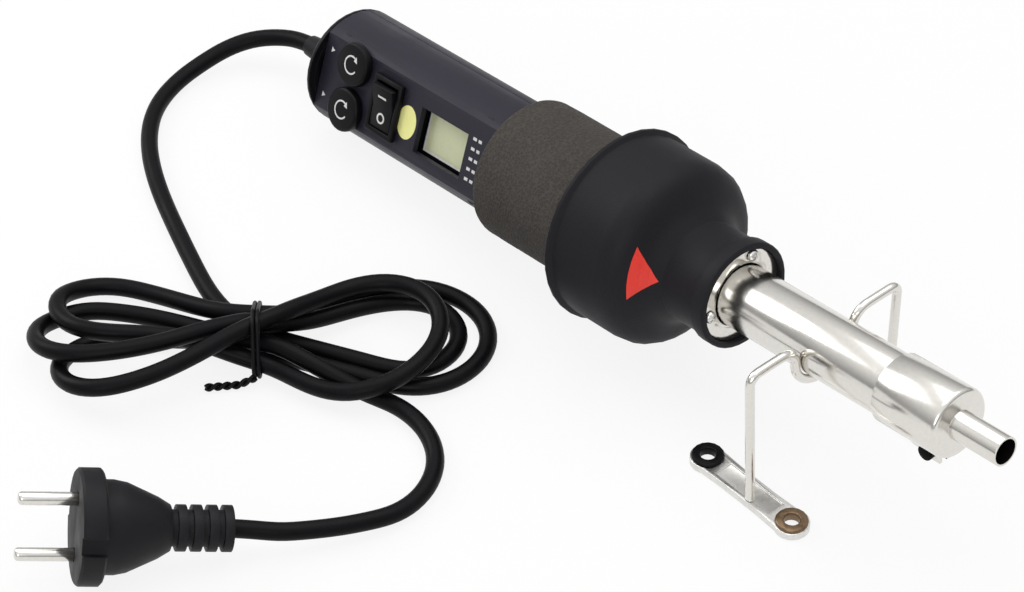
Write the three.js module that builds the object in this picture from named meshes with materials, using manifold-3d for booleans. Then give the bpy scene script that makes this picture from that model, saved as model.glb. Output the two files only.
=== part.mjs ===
// Hot air soldering tool on its wire stand, with its mains lead and plug.
// Millimetres, +Z up. The nose points along +X and the control panel faces -Y.
import * as THREE from 'three';
import { mergeVertices } from 'three/addons/utils/BufferGeometryUtils.js';
import Module from 'manifold-3d';

const wasm = await Module();
wasm.setup();

const { degToRad } = THREE.MathUtils;

// Attitude of the tool: the tail rests on the floor and the stand lifts the nose.
// PAST is how far a cut or a joined solid runs past a face.
const PITCH = degToRad(7.8);
const CLEARANCE = 0.3;
const SIDES = 36;
const FINE_SIDES = 28;
const SMALL_SIDES = 16;
const HOLE_SIDES = 12;
const PAST = 1;

// Handle tube, a clamshell with a flat for the controls
const HANDLE_RADIUS = 21.4;
const HANDLE_WALL = 2.2;
const FLAT_HEIGHT = 16.3;
const FLAT_ROLL = degToRad(66);
const TAIL_CAP_LENGTH = 2.6;
const TAIL_CAP_EDGE = 2.2;
const TAIL_CAP_WALL = 2.4;
const TAIL_SPIGOT = 4;
const HANDLE_PAST_CUP = 5;

// Foam grip
const FOAM_REAR = 97;
const FOAM_LENGTH = 47;
const FOAM_WALL = 4.1;
const FOAM_EDGE = 1.5;
const FLAT_UNDER_FOAM = 1;

// Shell screws, in bosses either side of the control board
const SHELL_SCREW_RADIUS = 1.2;
const SHELL_SCREW_HEAD_RADIUS = 2.5;
const SHELL_SCREW_HEAD = 2.2;
const SHELL_SCREW_SEAT = 6;
const SHELL_SCREW_GRIP = 8;
const SHELL_BOSS_RADIUS = 3.2;
const SHELL_SEAT_RADIUS = 3.8;
const SHELL_SCREW_SIDE = 13;
const SHELL_SCREW_FROM_CAP = 1.2;

// Controls on the flat, from the tail forwards
const KNOB_STATION = 20.8;
const KNOB_SIDE = 8.5;
const KNOB_RADIUS = 8;
const KNOB_HEIGHT = 3.2;
const KNOB_BEVEL = 0.7;
const KNOB_CAP = 1.2;
const POT_SHAFT_RADIUS = 3;
const POT_SIZE = 10;
const POT_HEIGHT = 5;
const ROCKER_STATION = 39.8;
const ROCKER_LENGTH = 15;
const ROCKER_WIDTH = 21;
const ROCKER_BEZEL = 2;
const ROCKER_LIP = 0.9;
const ROCKER_WALL = 1;
const ROCKER_FLOOR = 1.5;
const ROCKER_DEPTH = 9;
const ROCKER_TILT = degToRad(10);
const BUTTON_EDGE = 0.5;
const BUTTON_KEEL = 0.4;
const DISPLAY_REAR = 56.8;
const DISPLAY_LENGTH = 24.7;
const DISPLAY_WIDTH = 16.7;
const DISPLAY_SIDE = -1.3;
const DISPLAY_RECESS = 4.5;
const DISPLAY_BORDER = 1.2;

// Control board behind the flat
const BOARD_HEIGHT = 5;
const BOARD_THICKNESS = 1.6;
const BOARD_WIDTH = 27;
const BOARD_GAP = 0.8;
const BOARD_LENGTH = 69.5;
const POST_RADIUS = 1.6;
const POST_STATION = 30.3;
const POST_SIDE = 11.5;

// Blower housing, the wide cup ahead of the grip
const CUP_RIM_RADIUS = 34.7;
const CUP_RIM_LENGTH = 3.2;
const CUP_RADIUS = 33.2;
const CUP_WALL = 2;
const CUP_SKIRT = 22.9;
const CUP_DOME = 16.2;
const CUP_EDGE = 1;
const DOME_SHOULDER = 11.6;
const DOME_FALL = 8.2;
const DOME_DIP = 4.3;
const DOME_STEPS = 7;
const NECK_RADIUS = 17.8;
const NECK_LENGTH = 15.9;
const NECK_FILLET = 0.6;
const COLLAR_RADIUS = 19;
const COLLAR_LENGTH = 5.3;
const COLLAR_RECESS = 3.4;
const COLLAR_BORE = 12.2;
const COLLAR_EDGE = 0.6;
const GRILLE_THICKNESS = 2.5;
const GRILLE_SLOTS = 18;
const GRILLE_SLOT_WIDTH = 2.2;
const GRILLE_SLOT_LENGTH = 6;

// Blower
const MOTOR_RADIUS = 13;
const MOTOR_REAR = 116;
const MOTOR_LENGTH = 30;
const MOTOR_SHAFT_RADIUS = 1.5;
const MOTOR_MOUNT_STATION = 139;
const MOTOR_MOUNT_THICKNESS = 3;
const IMPELLER_RADIUS = 27;
const IMPELLER_HUB_RADIUS = 5;
const IMPELLER_LENGTH = 11;
const IMPELLER_PLATE = 1.5;
const IMPELLER_BLADES = 9;
const IMPELLER_BLADE_THICKNESS = 1.3;
const IMPELLER_GAP = 2.5;

// Heater barrel and its flange
const BARREL_RADIUS = 11;
const BARREL_WALL = 0.8;
const BARREL_BEHIND_FLANGE = 5;
const BARREL_PAST_SLEEVE = 7;
const FLANGE_RADIUS = 16.6;
const FLANGE_THICKNESS = 1.5;
const FLANGE_SCREWS = 3;
const FLANGE_SCREW_ROLL = degToRad(-25);
const FLANGE_SCREW_CIRCLE = 14.2;
const FLANGE_SCREW_RADIUS = 0.9;
const FLANGE_SCREW_HEAD_RADIUS = 2.1;
const FLANGE_SCREW_HEAD = 1.5;
const FLANGE_SCREW_LENGTH = 5;
const SCREW_CROWN = 0.6;
const SLEEVE_WALL = 0.6;
const SLEEVE_LENGTH = 81.7;
const SLEEVE_FROM_FLANGE = 8;
const CORE_RADIUS = 5;
const CORE_END = 3;
const CORE_ARM = 2.4;
const CORE_BORE = 1.2;
const CORE_BORE_DEPTH = 8;
const COIL_TURNS = 7;
const COIL_WIRE = 1.2;
const COIL_GAP = 0.7;
const COIL_STEPS = 8;
const COIL_SIDES = 5;
const SENSOR_RADIUS = 0.9;
const SENSOR_LENGTH = 18;

// Push-on nozzle with its clamp
const NOZZLE_LENGTH = 26.7;
const NOZZLE_WALL = 0.9;
const NOZZLE_FACE = 1.2;
const NOZZLE_EDGE = 1.6;
const TIP_RADIUS = 5.1;
const TIP_WALL = 0.7;
const TIP_LENGTH = 19.3;
const CLAMP_SLOT = 2;
const CLAMP_FROM_FACE = 11.5;
const CLAMP_LENGTH = 9;
const CLAMP_DEPTH = 6.5;
const CLAMP_EAR = 1.2;
const CLAMP_SCREW_RADIUS = 1.5;
const CLAMP_SCREW_HEAD_RADIUS = 2.8;
const CLAMP_SCREW_HEAD = 2;
const CLAMP_NUT = 2.2;
const NUT_SIDES = 6;

// Wire stand, which clips on to the barrel from below
const WIRE_RADIUS = 1.6;
const STAND_STATION = 241.5;
const LEG_SIDE = 33;
const NEAR_LEG_LEAN = 3.2;
const ARM_HEIGHT = 59.8;
const ARM_BEND = 3.6;
const WIRE_STEPS = 64;
const WIRE_SIDES = 8;
const BEND_STEPS = 4;
const FOOT_THICKNESS = 2.6;
const FOOT_WAIST = 10;
const FOOT_END_RADIUS = 6;
const FOOT_CENTRES = 39.5;
const FOOT_BEHIND_LEG = 3.5;
const FOOT_RIM = 1.6;
const FOOT_TRAY_DEPTH = 0.5;
const EYELET_HOLE = 2.75;
const EYELET_WALL = 0.9;
const EYELET_FLANGE = 0.9;

// Mains lead, its strain relief, hank and tie
const CORD_DIAMETER = 6.2;
const CORD_SIDES = 10;
const CORD_STEP = 13;
const RELIEF_LENGTH = 24;
const RELIEF_RADIUS = 6;
const RELIEF_TIP_RADIUS = 3.9;
const RELIEF_NECK_RADIUS = 5;
const RELIEF_HEAD = 2.2;
const RELIEF_DROP = 3.2;
const HANK_TURNS = 3;
const HANK_STEPS = 24;
const HANK_SIDES = 6;
const HANK_CENTRE = new THREE.Vector3(-81, -104.6, 0);
const HANK_HEADING = degToRad(48.73);
const HANK_REACH = 63;
const HANK_END_RADIUS = 20;
const HANK_WAIST = 3.9;
const HANK_START = degToRad(-38);
const LANE_STEP = 7.8;
const LAYER_STEP = 6.8;
const LEAST_SELF_GAP = 0.4;
const CLIMB_FROM = 0.4;
const CLIMB_TO = 0.04;
const TIE_WIDTH = 6;
const TIE_THICKNESS = 0.65;
const TIE_SLACK = 0.65;
const TIE_LIFT = 0.1;
const TIE_SIDES = 12;

// The lead from the strain relief along the floor to the hank
const LEAD_ROUTE = [
  [-181.5, 0, 14.5], [-187.5, -0.7, 13.6], [-193.2, -2.7, 12.4], [-198.3, -5.9, 11], [-202.6, -10.2, 9.5],
  [-205.8, -15.3, 7.9], [-207.8, -21, 6.4], [-208.7, -27.4, 5.1], [-208.9, -34, 4.1], [-208.2, -41, 3.4],
  [-206, -48.8, 3.2], [-201.9, -56.9, 3.2], [-195.4, -63.8, 3.2], [-186, -69.6, 3.2], [-174, -76.8, 3.2],
  [-162, -85.1, 3.2], [-150, -93.8, 3.3], [-144.4, -97.9, 3.5], [-138.7, -102, 3.8], [-134, -104.7, 4],
  [-128.8, -106.4, 4.2], [-123.4, -107, 4.4], [-118.3, -106.5, 4.5],
];

// The tail from the hank, over its right loops and round to the plug
const TAIL_ROUTE = [
  [-105.4, -104, 18.1], [-99.4, -102.9, 18.1], [-88, -100.9, 18.1], [-76, -99.2, 18.1], [-64, -98, 18.1],
  [-52, -97.3, 18.1], [-40, -97, 17.9], [-28.5, -96.9, 16.4], [-18.5, -97, 13.2], [-9.5, -97.5, 9.7],
  [-1.2, -98.9, 7], [6.4, -102.6, 5.1], [12.5, -108.6, 3.9], [16.3, -116.3, 3.4], [17.4, -124.8, 3.3],
  [15.8, -133.2, 3.5], [12, -140.6, 4.1], [6.9, -147, 5.1], [1.2, -152.7, 6.4], [-4.8, -158.2, 7.8],
  [-10.1, -163.9, 9.2], [-13.3, -169, 10.4],
];

// Round-pin plug lying on the rim of its flange
const PLUG_PLACE = new THREE.Vector3(-37, -207.7, 19.3);
const PLUG_HEADING = degToRad(-121.5);
const PLUG_RISE = degToRad(11.1);
const PLUG_ROLL = degToRad(24);
const PLUG_FLANGE_RADIUS = 19;
const PLUG_FLANGE_LENGTH = 8;
const PLUG_BODY_RADIUS = 15.3;
const PLUG_BODY_LENGTH = 22;
const PLUG_RELIEF_RADIUS = 7.6;
const PLUG_RELIEF_LENGTH = 20;
const PLUG_RIBS = 4;
const PLUG_RIB_DEPTH = 1.6;
const PLUG_RIB_LENGTH = 3;
const PLUG_SHOULDER_RADIUS = 10;
const PLUG_SHOULDER = 4;
const PLUG_WAIST = 8;
const PLUG_EDGE = 0.8;
const PLUG_NOTCH = 3;
const PIN_RADIUS = 2.2;
const PIN_LENGTH = 19;
const PIN_SPACING = 19;
const PIN_ROOT = 5;
const PIN_EDGE = 1.3;

// Stations along the tool's axis that follow from the sizes above
const shellRear = TAIL_CAP_LENGTH + CLEARANCE;
const handleBore = HANDLE_RADIUS - HANDLE_WALL;
const foamFront = FOAM_REAR + FOAM_LENGTH;
const cupRear = foamFront + CLEARANCE;
const handleFront = cupRear + HANDLE_PAST_CUP;
const flatFront = FOAM_REAR + FLAT_UNDER_FOAM;
const skirtFront = cupRear + CUP_SKIRT;
const neckRear = skirtFront + CUP_DOME;
const collarRear = neckRear + NECK_LENGTH;
const collarFront = collarRear + COLLAR_LENGTH;
const flangeRear = collarFront - COLLAR_RECESS + CLEARANCE;
const flangeFront = flangeRear + FLANGE_THICKNESS;
const barrelRear = flangeRear - BARREL_BEHIND_FLANGE;
const sleeveRear = flangeFront + SLEEVE_FROM_FLANGE;
const sleeveFront = sleeveRear + SLEEVE_LENGTH;
const barrelFront = sleeveFront + BARREL_PAST_SLEEVE;
const nozzleFront = barrelFront + CLEARANCE + NOZZLE_FACE;
const nozzleRear = nozzleFront - NOZZLE_LENGTH;
const nozzleRadius = BARREL_RADIUS + CLEARANCE + NOZZLE_WALL;

// Materials
const finish = (color, roughness, metalness = 0) =>
  new THREE.MeshStandardMaterial({ color, roughness, metalness });
const charcoalPlastic = finish('#3a3842', 0.5);
const blackPlastic = finish('#1b1b1d', 0.5);
const housingPlastic = finish('#2d2d31', 0.55);
const greyFoam = finish('#4c4946', 0.95);
const nickelSteel = finish('#cfc9c0', 0.2, 1);
const brownSteel = finish('#5a4a3c', 0.4, 1);
const greenBoard = finish('#2c5a3a', 0.6);
const displayGlass = finish('#b9bd94', 0.25);
const whiteCeramic = finish('#e6e0d4', 0.8);
const paleMica = finish('#b8a888', 0.6);
const cordRubber = finish('#141415', 0.45);
const plugRubber = finish('#18181a', 0.6);
const tieWire = finish('#161617', 0.5);

// Solids and their booleans
function toSolid(geometry) {
  const bare = geometry.clone();
  bare.deleteAttribute('normal');
  bare.deleteAttribute('uv');
  const merged = mergeVertices(bare, 1e-4);
  const corners = merged.index.array;
  const kept = [];
  for (let i = 0; i < corners.length; i += 3) {
    const [a, b, c] = corners.slice(i, i + 3);
    if (a !== b && b !== c && c !== a) kept.push(a, b, c);
  }
  const vertProperties = new Float32Array(merged.attributes.position.array);
  const triVerts = new Uint32Array(kept);
  return new wasm.Manifold(new wasm.Mesh({ numProp: 3, vertProperties, triVerts }));
}

function toGeometry(solid) {
  const mesh = solid.getMesh();
  const geometry = new THREE.BufferGeometry();
  geometry.setAttribute('position', new THREE.BufferAttribute(mesh.vertProperties, 3));
  geometry.setIndex(new THREE.BufferAttribute(mesh.triVerts, 1));
  return geometry;
}

const closed = (geometry) => toGeometry(toSolid(geometry));

function cut(geometry, ...tools) {
  return toGeometry(tools.reduce((solid, tool) => solid.subtract(toSolid(tool)), toSolid(geometry)));
}

function join(geometry, ...others) {
  return toGeometry(others.reduce((solid, other) => solid.add(toSolid(other)), toSolid(geometry)));
}

// A solid of revolution about +X, from an outline of [station, radius] pairs
function turned(outline, sides = SIDES) {
  const points = outline.map(([station, radius]) => new THREE.Vector2(radius, station));
  return new THREE.LatheGeometry(points, sides).rotateZ(-Math.PI / 2);
}

const rod = (from, to, radius, sides = SMALL_SIDES) =>
  turned([[from, 0], [from, radius], [to, radius], [to, 0]], sides);

function ring(from, to, outer, inner, sides = SIDES) {
  return turned([[from, inner], [from, outer], [to, outer], [to, inner], [from, inner]], sides);
}

const upright = (geometry) => geometry.rotateY(-Math.PI / 2);

function block([x0, x1], [y0, y1], [z0, z1]) {
  return new THREE.BoxGeometry(x1 - x0, y1 - y0, z1 - z0)
    .translate((x0 + x1) / 2, (y0 + y1) / 2, (z0 + z1) / 2);
}

const around = (middle, width) => [middle - width / 2, middle + width / 2];

// Points of a quarter round, from one [station, radius] to another
function rounded([x0, r0], [x1, r1], stationFirst, steps = 4) {
  const points = [];
  for (let i = 0; i <= steps; i += 1) {
    const turn = (i / steps) * (Math.PI / 2);
    const early = Math.sin(turn);
    const late = 1 - Math.cos(turn);
    points.push(stationFirst
      ? [x0 + (x1 - x0) * early, r0 + (r1 - r0) * late]
      : [x0 + (x1 - x0) * late, r0 + (r1 - r0) * early]);
  }
  return points;
}

function roundSection(radius, sides) {
  const corners = [];
  for (let i = 0; i < sides; i += 1) {
    const turn = ((i + 0.5) / sides) * 2 * Math.PI;
    corners.push(new THREE.Vector2(radius * Math.cos(turn), radius * Math.sin(turn)));
  }
  return new THREE.Shape(corners);
}

function tube(curve, radius, steps, sides) {
  return new THREE.ExtrudeGeometry(roundSection(radius, sides), { steps, extrudePath: curve });
}

function piece(parent, name, geometry, material) {
  const mesh = new THREE.Mesh(closed(geometry), material);
  mesh.name = name;
  parent.add(mesh);
  return mesh;
}

const object = new THREE.Group();
const tool = new THREE.Group();
tool.rotation.y = -PITCH;
object.add(tool);

// The panel group's +Z is square to the flat, and its +Y runs up across the flat
const panel = new THREE.Group();
panel.rotation.x = FLAT_ROLL;
tool.add(panel);

// Handle clamshell
const innerFlat = FLAT_HEIGHT - HANDLE_WALL;
const wide = 4 * HANDLE_RADIUS;
const potTop = BOARD_HEIGHT + BOARD_THICKNESS + CLEARANCE + POT_HEIGHT;
const boardTop = BOARD_HEIGHT + BOARD_THICKNESS;
const rearScrew = TAIL_CAP_LENGTH + TAIL_SPIGOT + SHELL_SCREW_FROM_CAP + SHELL_BOSS_RADIUS;
const boardRear = rearScrew + SHELL_BOSS_RADIUS + BOARD_GAP;
const boardFront = boardRear + BOARD_LENGTH;
const frontScrew = boardFront + BOARD_GAP + SHELL_BOSS_RADIUS;
const shellScrewPlaces = [rearScrew, frontScrew].flatMap((station) =>
  [-SHELL_SCREW_SIDE, SHELL_SCREW_SIDE].map((side) => [station, side]));
const postPlaces = [-POST_SIDE, POST_SIDE].map((side) => [POST_STATION, side]);
const post = ([station, side], radius, from, to) =>
  upright(rod(from, to, radius)).translate(station, side, 0);

function handleTube() {
  const flat = block([-PAST, flatFront], [-wide, wide], [FLAT_HEIGHT, wide]);
  const behindFlat = block([-PAST, flatFront + HANDLE_WALL], [-wide, wide], [innerFlat, wide]);
  const bore = cut(rod(0, handleFront + PAST, handleBore, SIDES), behindFlat);
  return cut(rod(shellRear, handleFront, HANDLE_RADIUS, SIDES), flat, bore);
}

function panelShell() {
  const half = cut(handleTube(), block([0, 2 * handleFront], [-wide, wide], [-wide, CLEARANCE / 2]));
  const rooted = innerFlat + HANDLE_WALL / 4;
  const bosses = shellScrewPlaces.map((at) => post(at, SHELL_BOSS_RADIUS, CLEARANCE / 2, rooted));
  const posts = postPlaces.map((at) => post(at, POST_RADIUS, boardTop + CLEARANCE, rooted));
  const screwHoles = shellScrewPlaces.map((at) =>
    post(at, SHELL_SCREW_RADIUS + CLEARANCE, -PAST, SHELL_SCREW_GRIP + PAST));
  const knobHoles = [-KNOB_SIDE, KNOB_SIDE].map((side) =>
    post([KNOB_STATION, side], POT_SHAFT_RADIUS + CLEARANCE, 0, wide));
  const rockerHole = block(
    around(ROCKER_STATION, ROCKER_LENGTH - 2 * ROCKER_LIP + 2 * CLEARANCE),
    around(0, ROCKER_WIDTH - 2 * ROCKER_LIP + 2 * CLEARANCE), [0, wide]);
  const window = block([DISPLAY_REAR, DISPLAY_REAR + DISPLAY_LENGTH],
    around(DISPLAY_SIDE, DISPLAY_WIDTH), [0, wide]);
  return cut(join(half, ...bosses, ...posts), ...screwHoles, ...knobHoles, rockerHole, window);
}

function backShell() {
  const half = cut(handleTube(), block([0, 2 * handleFront], [-wide, wide], [-CLEARANCE / 2, wide]));
  const depth = Math.sqrt(handleBore ** 2 - SHELL_SCREW_SIDE ** 2) + HANDLE_WALL / 4;
  const bosses = shellScrewPlaces.map((at) => post(at, SHELL_SEAT_RADIUS, -depth, -CLEARANCE / 2));
  const holes = shellScrewPlaces.map((at) => post(at, SHELL_SCREW_RADIUS + CLEARANCE, -wide, PAST));
  const counterbores = shellScrewPlaces.map((at) =>
    post(at, SHELL_SCREW_HEAD_RADIUS + CLEARANCE, -wide, -SHELL_SCREW_SEAT));
  return cut(join(half, ...bosses), ...holes, ...counterbores);
}

piece(panel, 'handle_panel_shell', panelShell(), charcoalPlastic);
piece(panel, 'handle_back_shell', backShell(), charcoalPlastic);

shellScrewPlaces.forEach(([station, side], i) => {
  const seat = -SHELL_SCREW_SEAT - CLEARANCE;
  const screw = turned([[seat - SHELL_SCREW_HEAD, 0], [seat - SHELL_SCREW_HEAD, SHELL_SCREW_HEAD_RADIUS],
    [seat, SHELL_SCREW_HEAD_RADIUS], [seat, SHELL_SCREW_RADIUS], [SHELL_SCREW_GRIP, SHELL_SCREW_RADIUS],
    [SHELL_SCREW_GRIP, 0]], SMALL_SIDES);
  piece(panel, `shell_screw_${i + 1}`, upright(screw).translate(station, side, 0), nickelSteel);
});

// Tail cap, with the hole that the strain relief grips
const spigotRadius = handleBore - CLEARANCE;
const reliefHole = RELIEF_NECK_RADIUS + CLEARANCE;
const tailCap = turned([[0, 0],
  ...rounded([0, HANDLE_RADIUS - TAIL_CAP_EDGE], [TAIL_CAP_EDGE, HANDLE_RADIUS]),
  [TAIL_CAP_LENGTH, HANDLE_RADIUS], [TAIL_CAP_LENGTH, spigotRadius],
  [TAIL_CAP_LENGTH + TAIL_SPIGOT, spigotRadius], [TAIL_CAP_LENGTH + TAIL_SPIGOT, spigotRadius - HANDLE_WALL],
  [TAIL_CAP_WALL, spigotRadius - HANDLE_WALL], [TAIL_CAP_WALL, 0]]);
const flatRelief = block([TAIL_CAP_LENGTH + CLEARANCE / 2, wide], [-wide, wide],
  [innerFlat - CLEARANCE, wide])
  .rotateX(FLAT_ROLL);
piece(tool, 'tail_cap', cut(tailCap, flatRelief,
  rod(-PAST, wide, reliefHole).translate(0, 0, -RELIEF_DROP)), blackPlastic);

// Two control knobs on their potentiometers
[['temperature', KNOB_SIDE], ['airflow', -KNOB_SIDE]].forEach(([use, side]) => {
  const under = FLAT_HEIGHT + CLEARANCE;
  const top = under + KNOB_HEIGHT;
  const bore = POT_SHAFT_RADIUS + CLEARANCE;
  const knob = turned([[under, bore], [under, KNOB_RADIUS], [top - KNOB_BEVEL, KNOB_RADIUS],
    [top, KNOB_RADIUS - KNOB_BEVEL], [top, 0], [top - KNOB_CAP, 0], [top - KNOB_CAP, bore],
    [under, bore]], FINE_SIDES);
  piece(panel, `${use}_knob`, upright(knob).translate(KNOB_STATION, side, 0), blackPlastic);
  const body = block(around(KNOB_STATION, POT_SIZE), around(side, POT_SIZE),
    [potTop - POT_HEIGHT, potTop]);
  const shaft = post([KNOB_STATION, side], POT_SHAFT_RADIUS, potTop - PAST, top - KNOB_CAP - CLEARANCE);
  piece(panel, `${use}_potentiometer`, join(body, shaft), nickelSteel);
});

// Rocker switch: the frame clips into the flat and the button tilts about the tool's length
const bezelUnder = FLAT_HEIGHT + CLEARANCE;
const bezelTop = bezelUnder + ROCKER_BEZEL;
const rockerBodyLength = ROCKER_LENGTH - 2 * ROCKER_LIP;
const rockerBodyWidth = ROCKER_WIDTH - 2 * ROCKER_LIP;
const pocketLength = rockerBodyLength - 2 * ROCKER_WALL;
const pocketWidth = rockerBodyWidth - 2 * ROCKER_WALL;
const bezel = block(around(ROCKER_STATION, ROCKER_LENGTH), around(0, ROCKER_WIDTH), [bezelUnder, bezelTop]);
const rockerBody = block(around(ROCKER_STATION, rockerBodyLength), around(0, rockerBodyWidth),
  [bezelUnder - ROCKER_DEPTH, bezelUnder + ROCKER_BEZEL / 2]);
const pocket = block(around(ROCKER_STATION, pocketLength), around(0, pocketWidth),
  [bezelUnder - ROCKER_DEPTH + ROCKER_FLOOR, wide]);
piece(panel, 'rocker_frame', cut(join(bezel, rockerBody), pocket), blackPlastic);

const buttonReach = pocketWidth / 2 - 2 * CLEARANCE;
const keelReach = BUTTON_KEEL * buttonReach;
const keelDepth = ROCKER_DEPTH / 2 - BUTTON_EDGE;
const buttonShape = new THREE.Shape([
  new THREE.Vector2(-buttonReach, -BUTTON_EDGE), new THREE.Vector2(-keelReach, -keelDepth),
  new THREE.Vector2(keelReach, -keelDepth), new THREE.Vector2(buttonReach, -BUTTON_EDGE),
  new THREE.Vector2(buttonReach, ROCKER_BEZEL), new THREE.Vector2(0, ROCKER_BEZEL / 2),
  new THREE.Vector2(-buttonReach, ROCKER_BEZEL),
]);
const buttonLength = pocketLength - 2 * CLEARANCE;
const button = new THREE.ExtrudeGeometry(buttonShape, { depth: buttonLength, bevelEnabled: false })
  .rotateX(Math.PI / 2).rotateZ(Math.PI / 2).translate(-buttonLength / 2, 0, 0).rotateX(ROCKER_TILT);
const rocker = piece(panel, 'rocker_button', button, blackPlastic);
rocker.position.set(ROCKER_STATION, 0, bezelUnder + ROCKER_BEZEL / 2);

// Control board and display, hung behind the flat
piece(panel, 'control_board',
  block([boardRear, boardFront], around(0, BOARD_WIDTH), [BOARD_HEIGHT, boardTop]), greenBoard);
piece(panel, 'display_module', block(
  [DISPLAY_REAR - DISPLAY_BORDER, DISPLAY_REAR + DISPLAY_LENGTH + DISPLAY_BORDER],
  around(DISPLAY_SIDE, DISPLAY_WIDTH + 2 * DISPLAY_BORDER),
  [boardTop + CLEARANCE, FLAT_HEIGHT - DISPLAY_RECESS]), displayGlass);

// Foam grip
const foamBore = HANDLE_RADIUS + CLEARANCE;
const foamRadius = foamBore + FOAM_WALL;
piece(tool, 'foam_grip', turned([[FOAM_REAR, foamBore],
  ...rounded([FOAM_REAR, foamRadius - FOAM_EDGE], [FOAM_REAR + FOAM_EDGE, foamRadius]),
  ...rounded([foamFront - FOAM_EDGE, foamRadius], [foamFront, foamRadius - FOAM_EDGE], true),
  [foamFront, foamBore], [FOAM_REAR, foamBore]]), greyFoam);

// Blower housing: rim, skirt, dome, neck and collar
const cupBore = CUP_RADIUS - CUP_WALL;
const flangeSeat = collarFront - COLLAR_RECESS;

function domePoints(inset) {
  const rear = skirtFront - inset / 2;
  const front = neckRear - inset / 2;
  const shoulder = CUP_RADIUS - inset;
  const throat = NECK_RADIUS + NECK_FILLET - inset;
  const curve = new THREE.CubicBezierCurve(
    new THREE.Vector2(rear, shoulder), new THREE.Vector2(rear + DOME_SHOULDER, shoulder),
    new THREE.Vector2(front - DOME_FALL, throat + DOME_DIP), new THREE.Vector2(front, throat));
  return curve.getPoints(DOME_STEPS).map(({ x, y }) => [x, y]);
}

const flangeScrewTurns = Array.from({ length: FLANGE_SCREWS }, (_, i) =>
  FLANGE_SCREW_ROLL + (i * 2 * Math.PI) / FLANGE_SCREWS);
const onFlangeCircle = (geometry, turn) => geometry.translate(0, 0, FLANGE_SCREW_CIRCLE).rotateX(turn);

const housing = turned([[cupRear, cupBore], [cupRear, CUP_RIM_RADIUS - CUP_EDGE],
  [cupRear + CUP_EDGE, CUP_RIM_RADIUS], [cupRear + CUP_RIM_LENGTH - CUP_EDGE, CUP_RIM_RADIUS],
  [cupRear + CUP_RIM_LENGTH, CUP_RADIUS], ...domePoints(0), [neckRear + NECK_FILLET, NECK_RADIUS],
  [collarRear, NECK_RADIUS], [collarRear, COLLAR_RADIUS], [collarFront - COLLAR_EDGE, COLLAR_RADIUS],
  [collarFront, COLLAR_RADIUS - COLLAR_EDGE], [collarFront, FLANGE_RADIUS + CLEARANCE],
  [flangeSeat, FLANGE_RADIUS + CLEARANCE], [flangeSeat, COLLAR_BORE], [neckRear + NECK_FILLET, COLLAR_BORE],
  ...domePoints(CUP_WALL).reverse(), [cupRear, cupBore]]);
const screwHole = FLANGE_SCREW_RADIUS + CLEARANCE;
const collarHoles = flangeScrewTurns.map((turn) => onFlangeCircle(
  rod(flangeFront - FLANGE_SCREW_LENGTH - CLEARANCE, collarFront, screwHole, HOLE_SIDES), turn));
piece(tool, 'blower_housing', cut(housing, ...collarHoles), housingPlastic);

const grilleRing = ring(cupRear, cupRear + GRILLE_THICKNESS, cupBore - CLEARANCE, foamBore);
const grilleMiddle = (cupBore - CLEARANCE + foamBore) / 2;
const grilleSlots = Array.from({ length: GRILLE_SLOTS }, (_, i) =>
  block([cupRear - PAST, cupRear + GRILLE_THICKNESS + PAST], around(0, GRILLE_SLOT_WIDTH),
    around(grilleMiddle, GRILLE_SLOT_LENGTH)).rotateX((i * 2 * Math.PI) / GRILLE_SLOTS));
piece(tool, 'intake_grille', cut(grilleRing, ...grilleSlots), blackPlastic);

// Blower motor, its mount and the impeller on its shaft
const impellerRear = handleFront + IMPELLER_GAP;
const impellerFront = impellerRear + IMPELLER_LENGTH;
const motorFront = MOTOR_REAR + MOTOR_LENGTH;
piece(tool, 'blower_motor', turned([[MOTOR_REAR, 0], [MOTOR_REAR, MOTOR_RADIUS], [motorFront, MOTOR_RADIUS],
  [motorFront, MOTOR_SHAFT_RADIUS], [impellerFront, MOTOR_SHAFT_RADIUS], [impellerFront, 0]], FINE_SIDES),
  nickelSteel);
piece(tool, 'motor_mount', ring(MOTOR_MOUNT_STATION, MOTOR_MOUNT_STATION + MOTOR_MOUNT_THICKNESS,
  handleBore - CLEARANCE, MOTOR_RADIUS + CLEARANCE), blackPlastic);
const impellerBore = MOTOR_SHAFT_RADIUS + CLEARANCE;
const blades = Array.from({ length: IMPELLER_BLADES }, (_, i) =>
  block([impellerRear + IMPELLER_PLATE / 2, impellerFront], around(0, IMPELLER_BLADE_THICKNESS),
    [IMPELLER_HUB_RADIUS - PAST, IMPELLER_RADIUS - IMPELLER_PLATE / 2])
    .rotateX((i * 2 * Math.PI) / IMPELLER_BLADES));
piece(tool, 'impeller', join(
  ring(impellerRear, impellerFront, IMPELLER_HUB_RADIUS, impellerBore, SMALL_SIDES),
  ring(impellerRear, impellerRear + IMPELLER_PLATE, IMPELLER_RADIUS, impellerBore), ...blades), blackPlastic);

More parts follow.
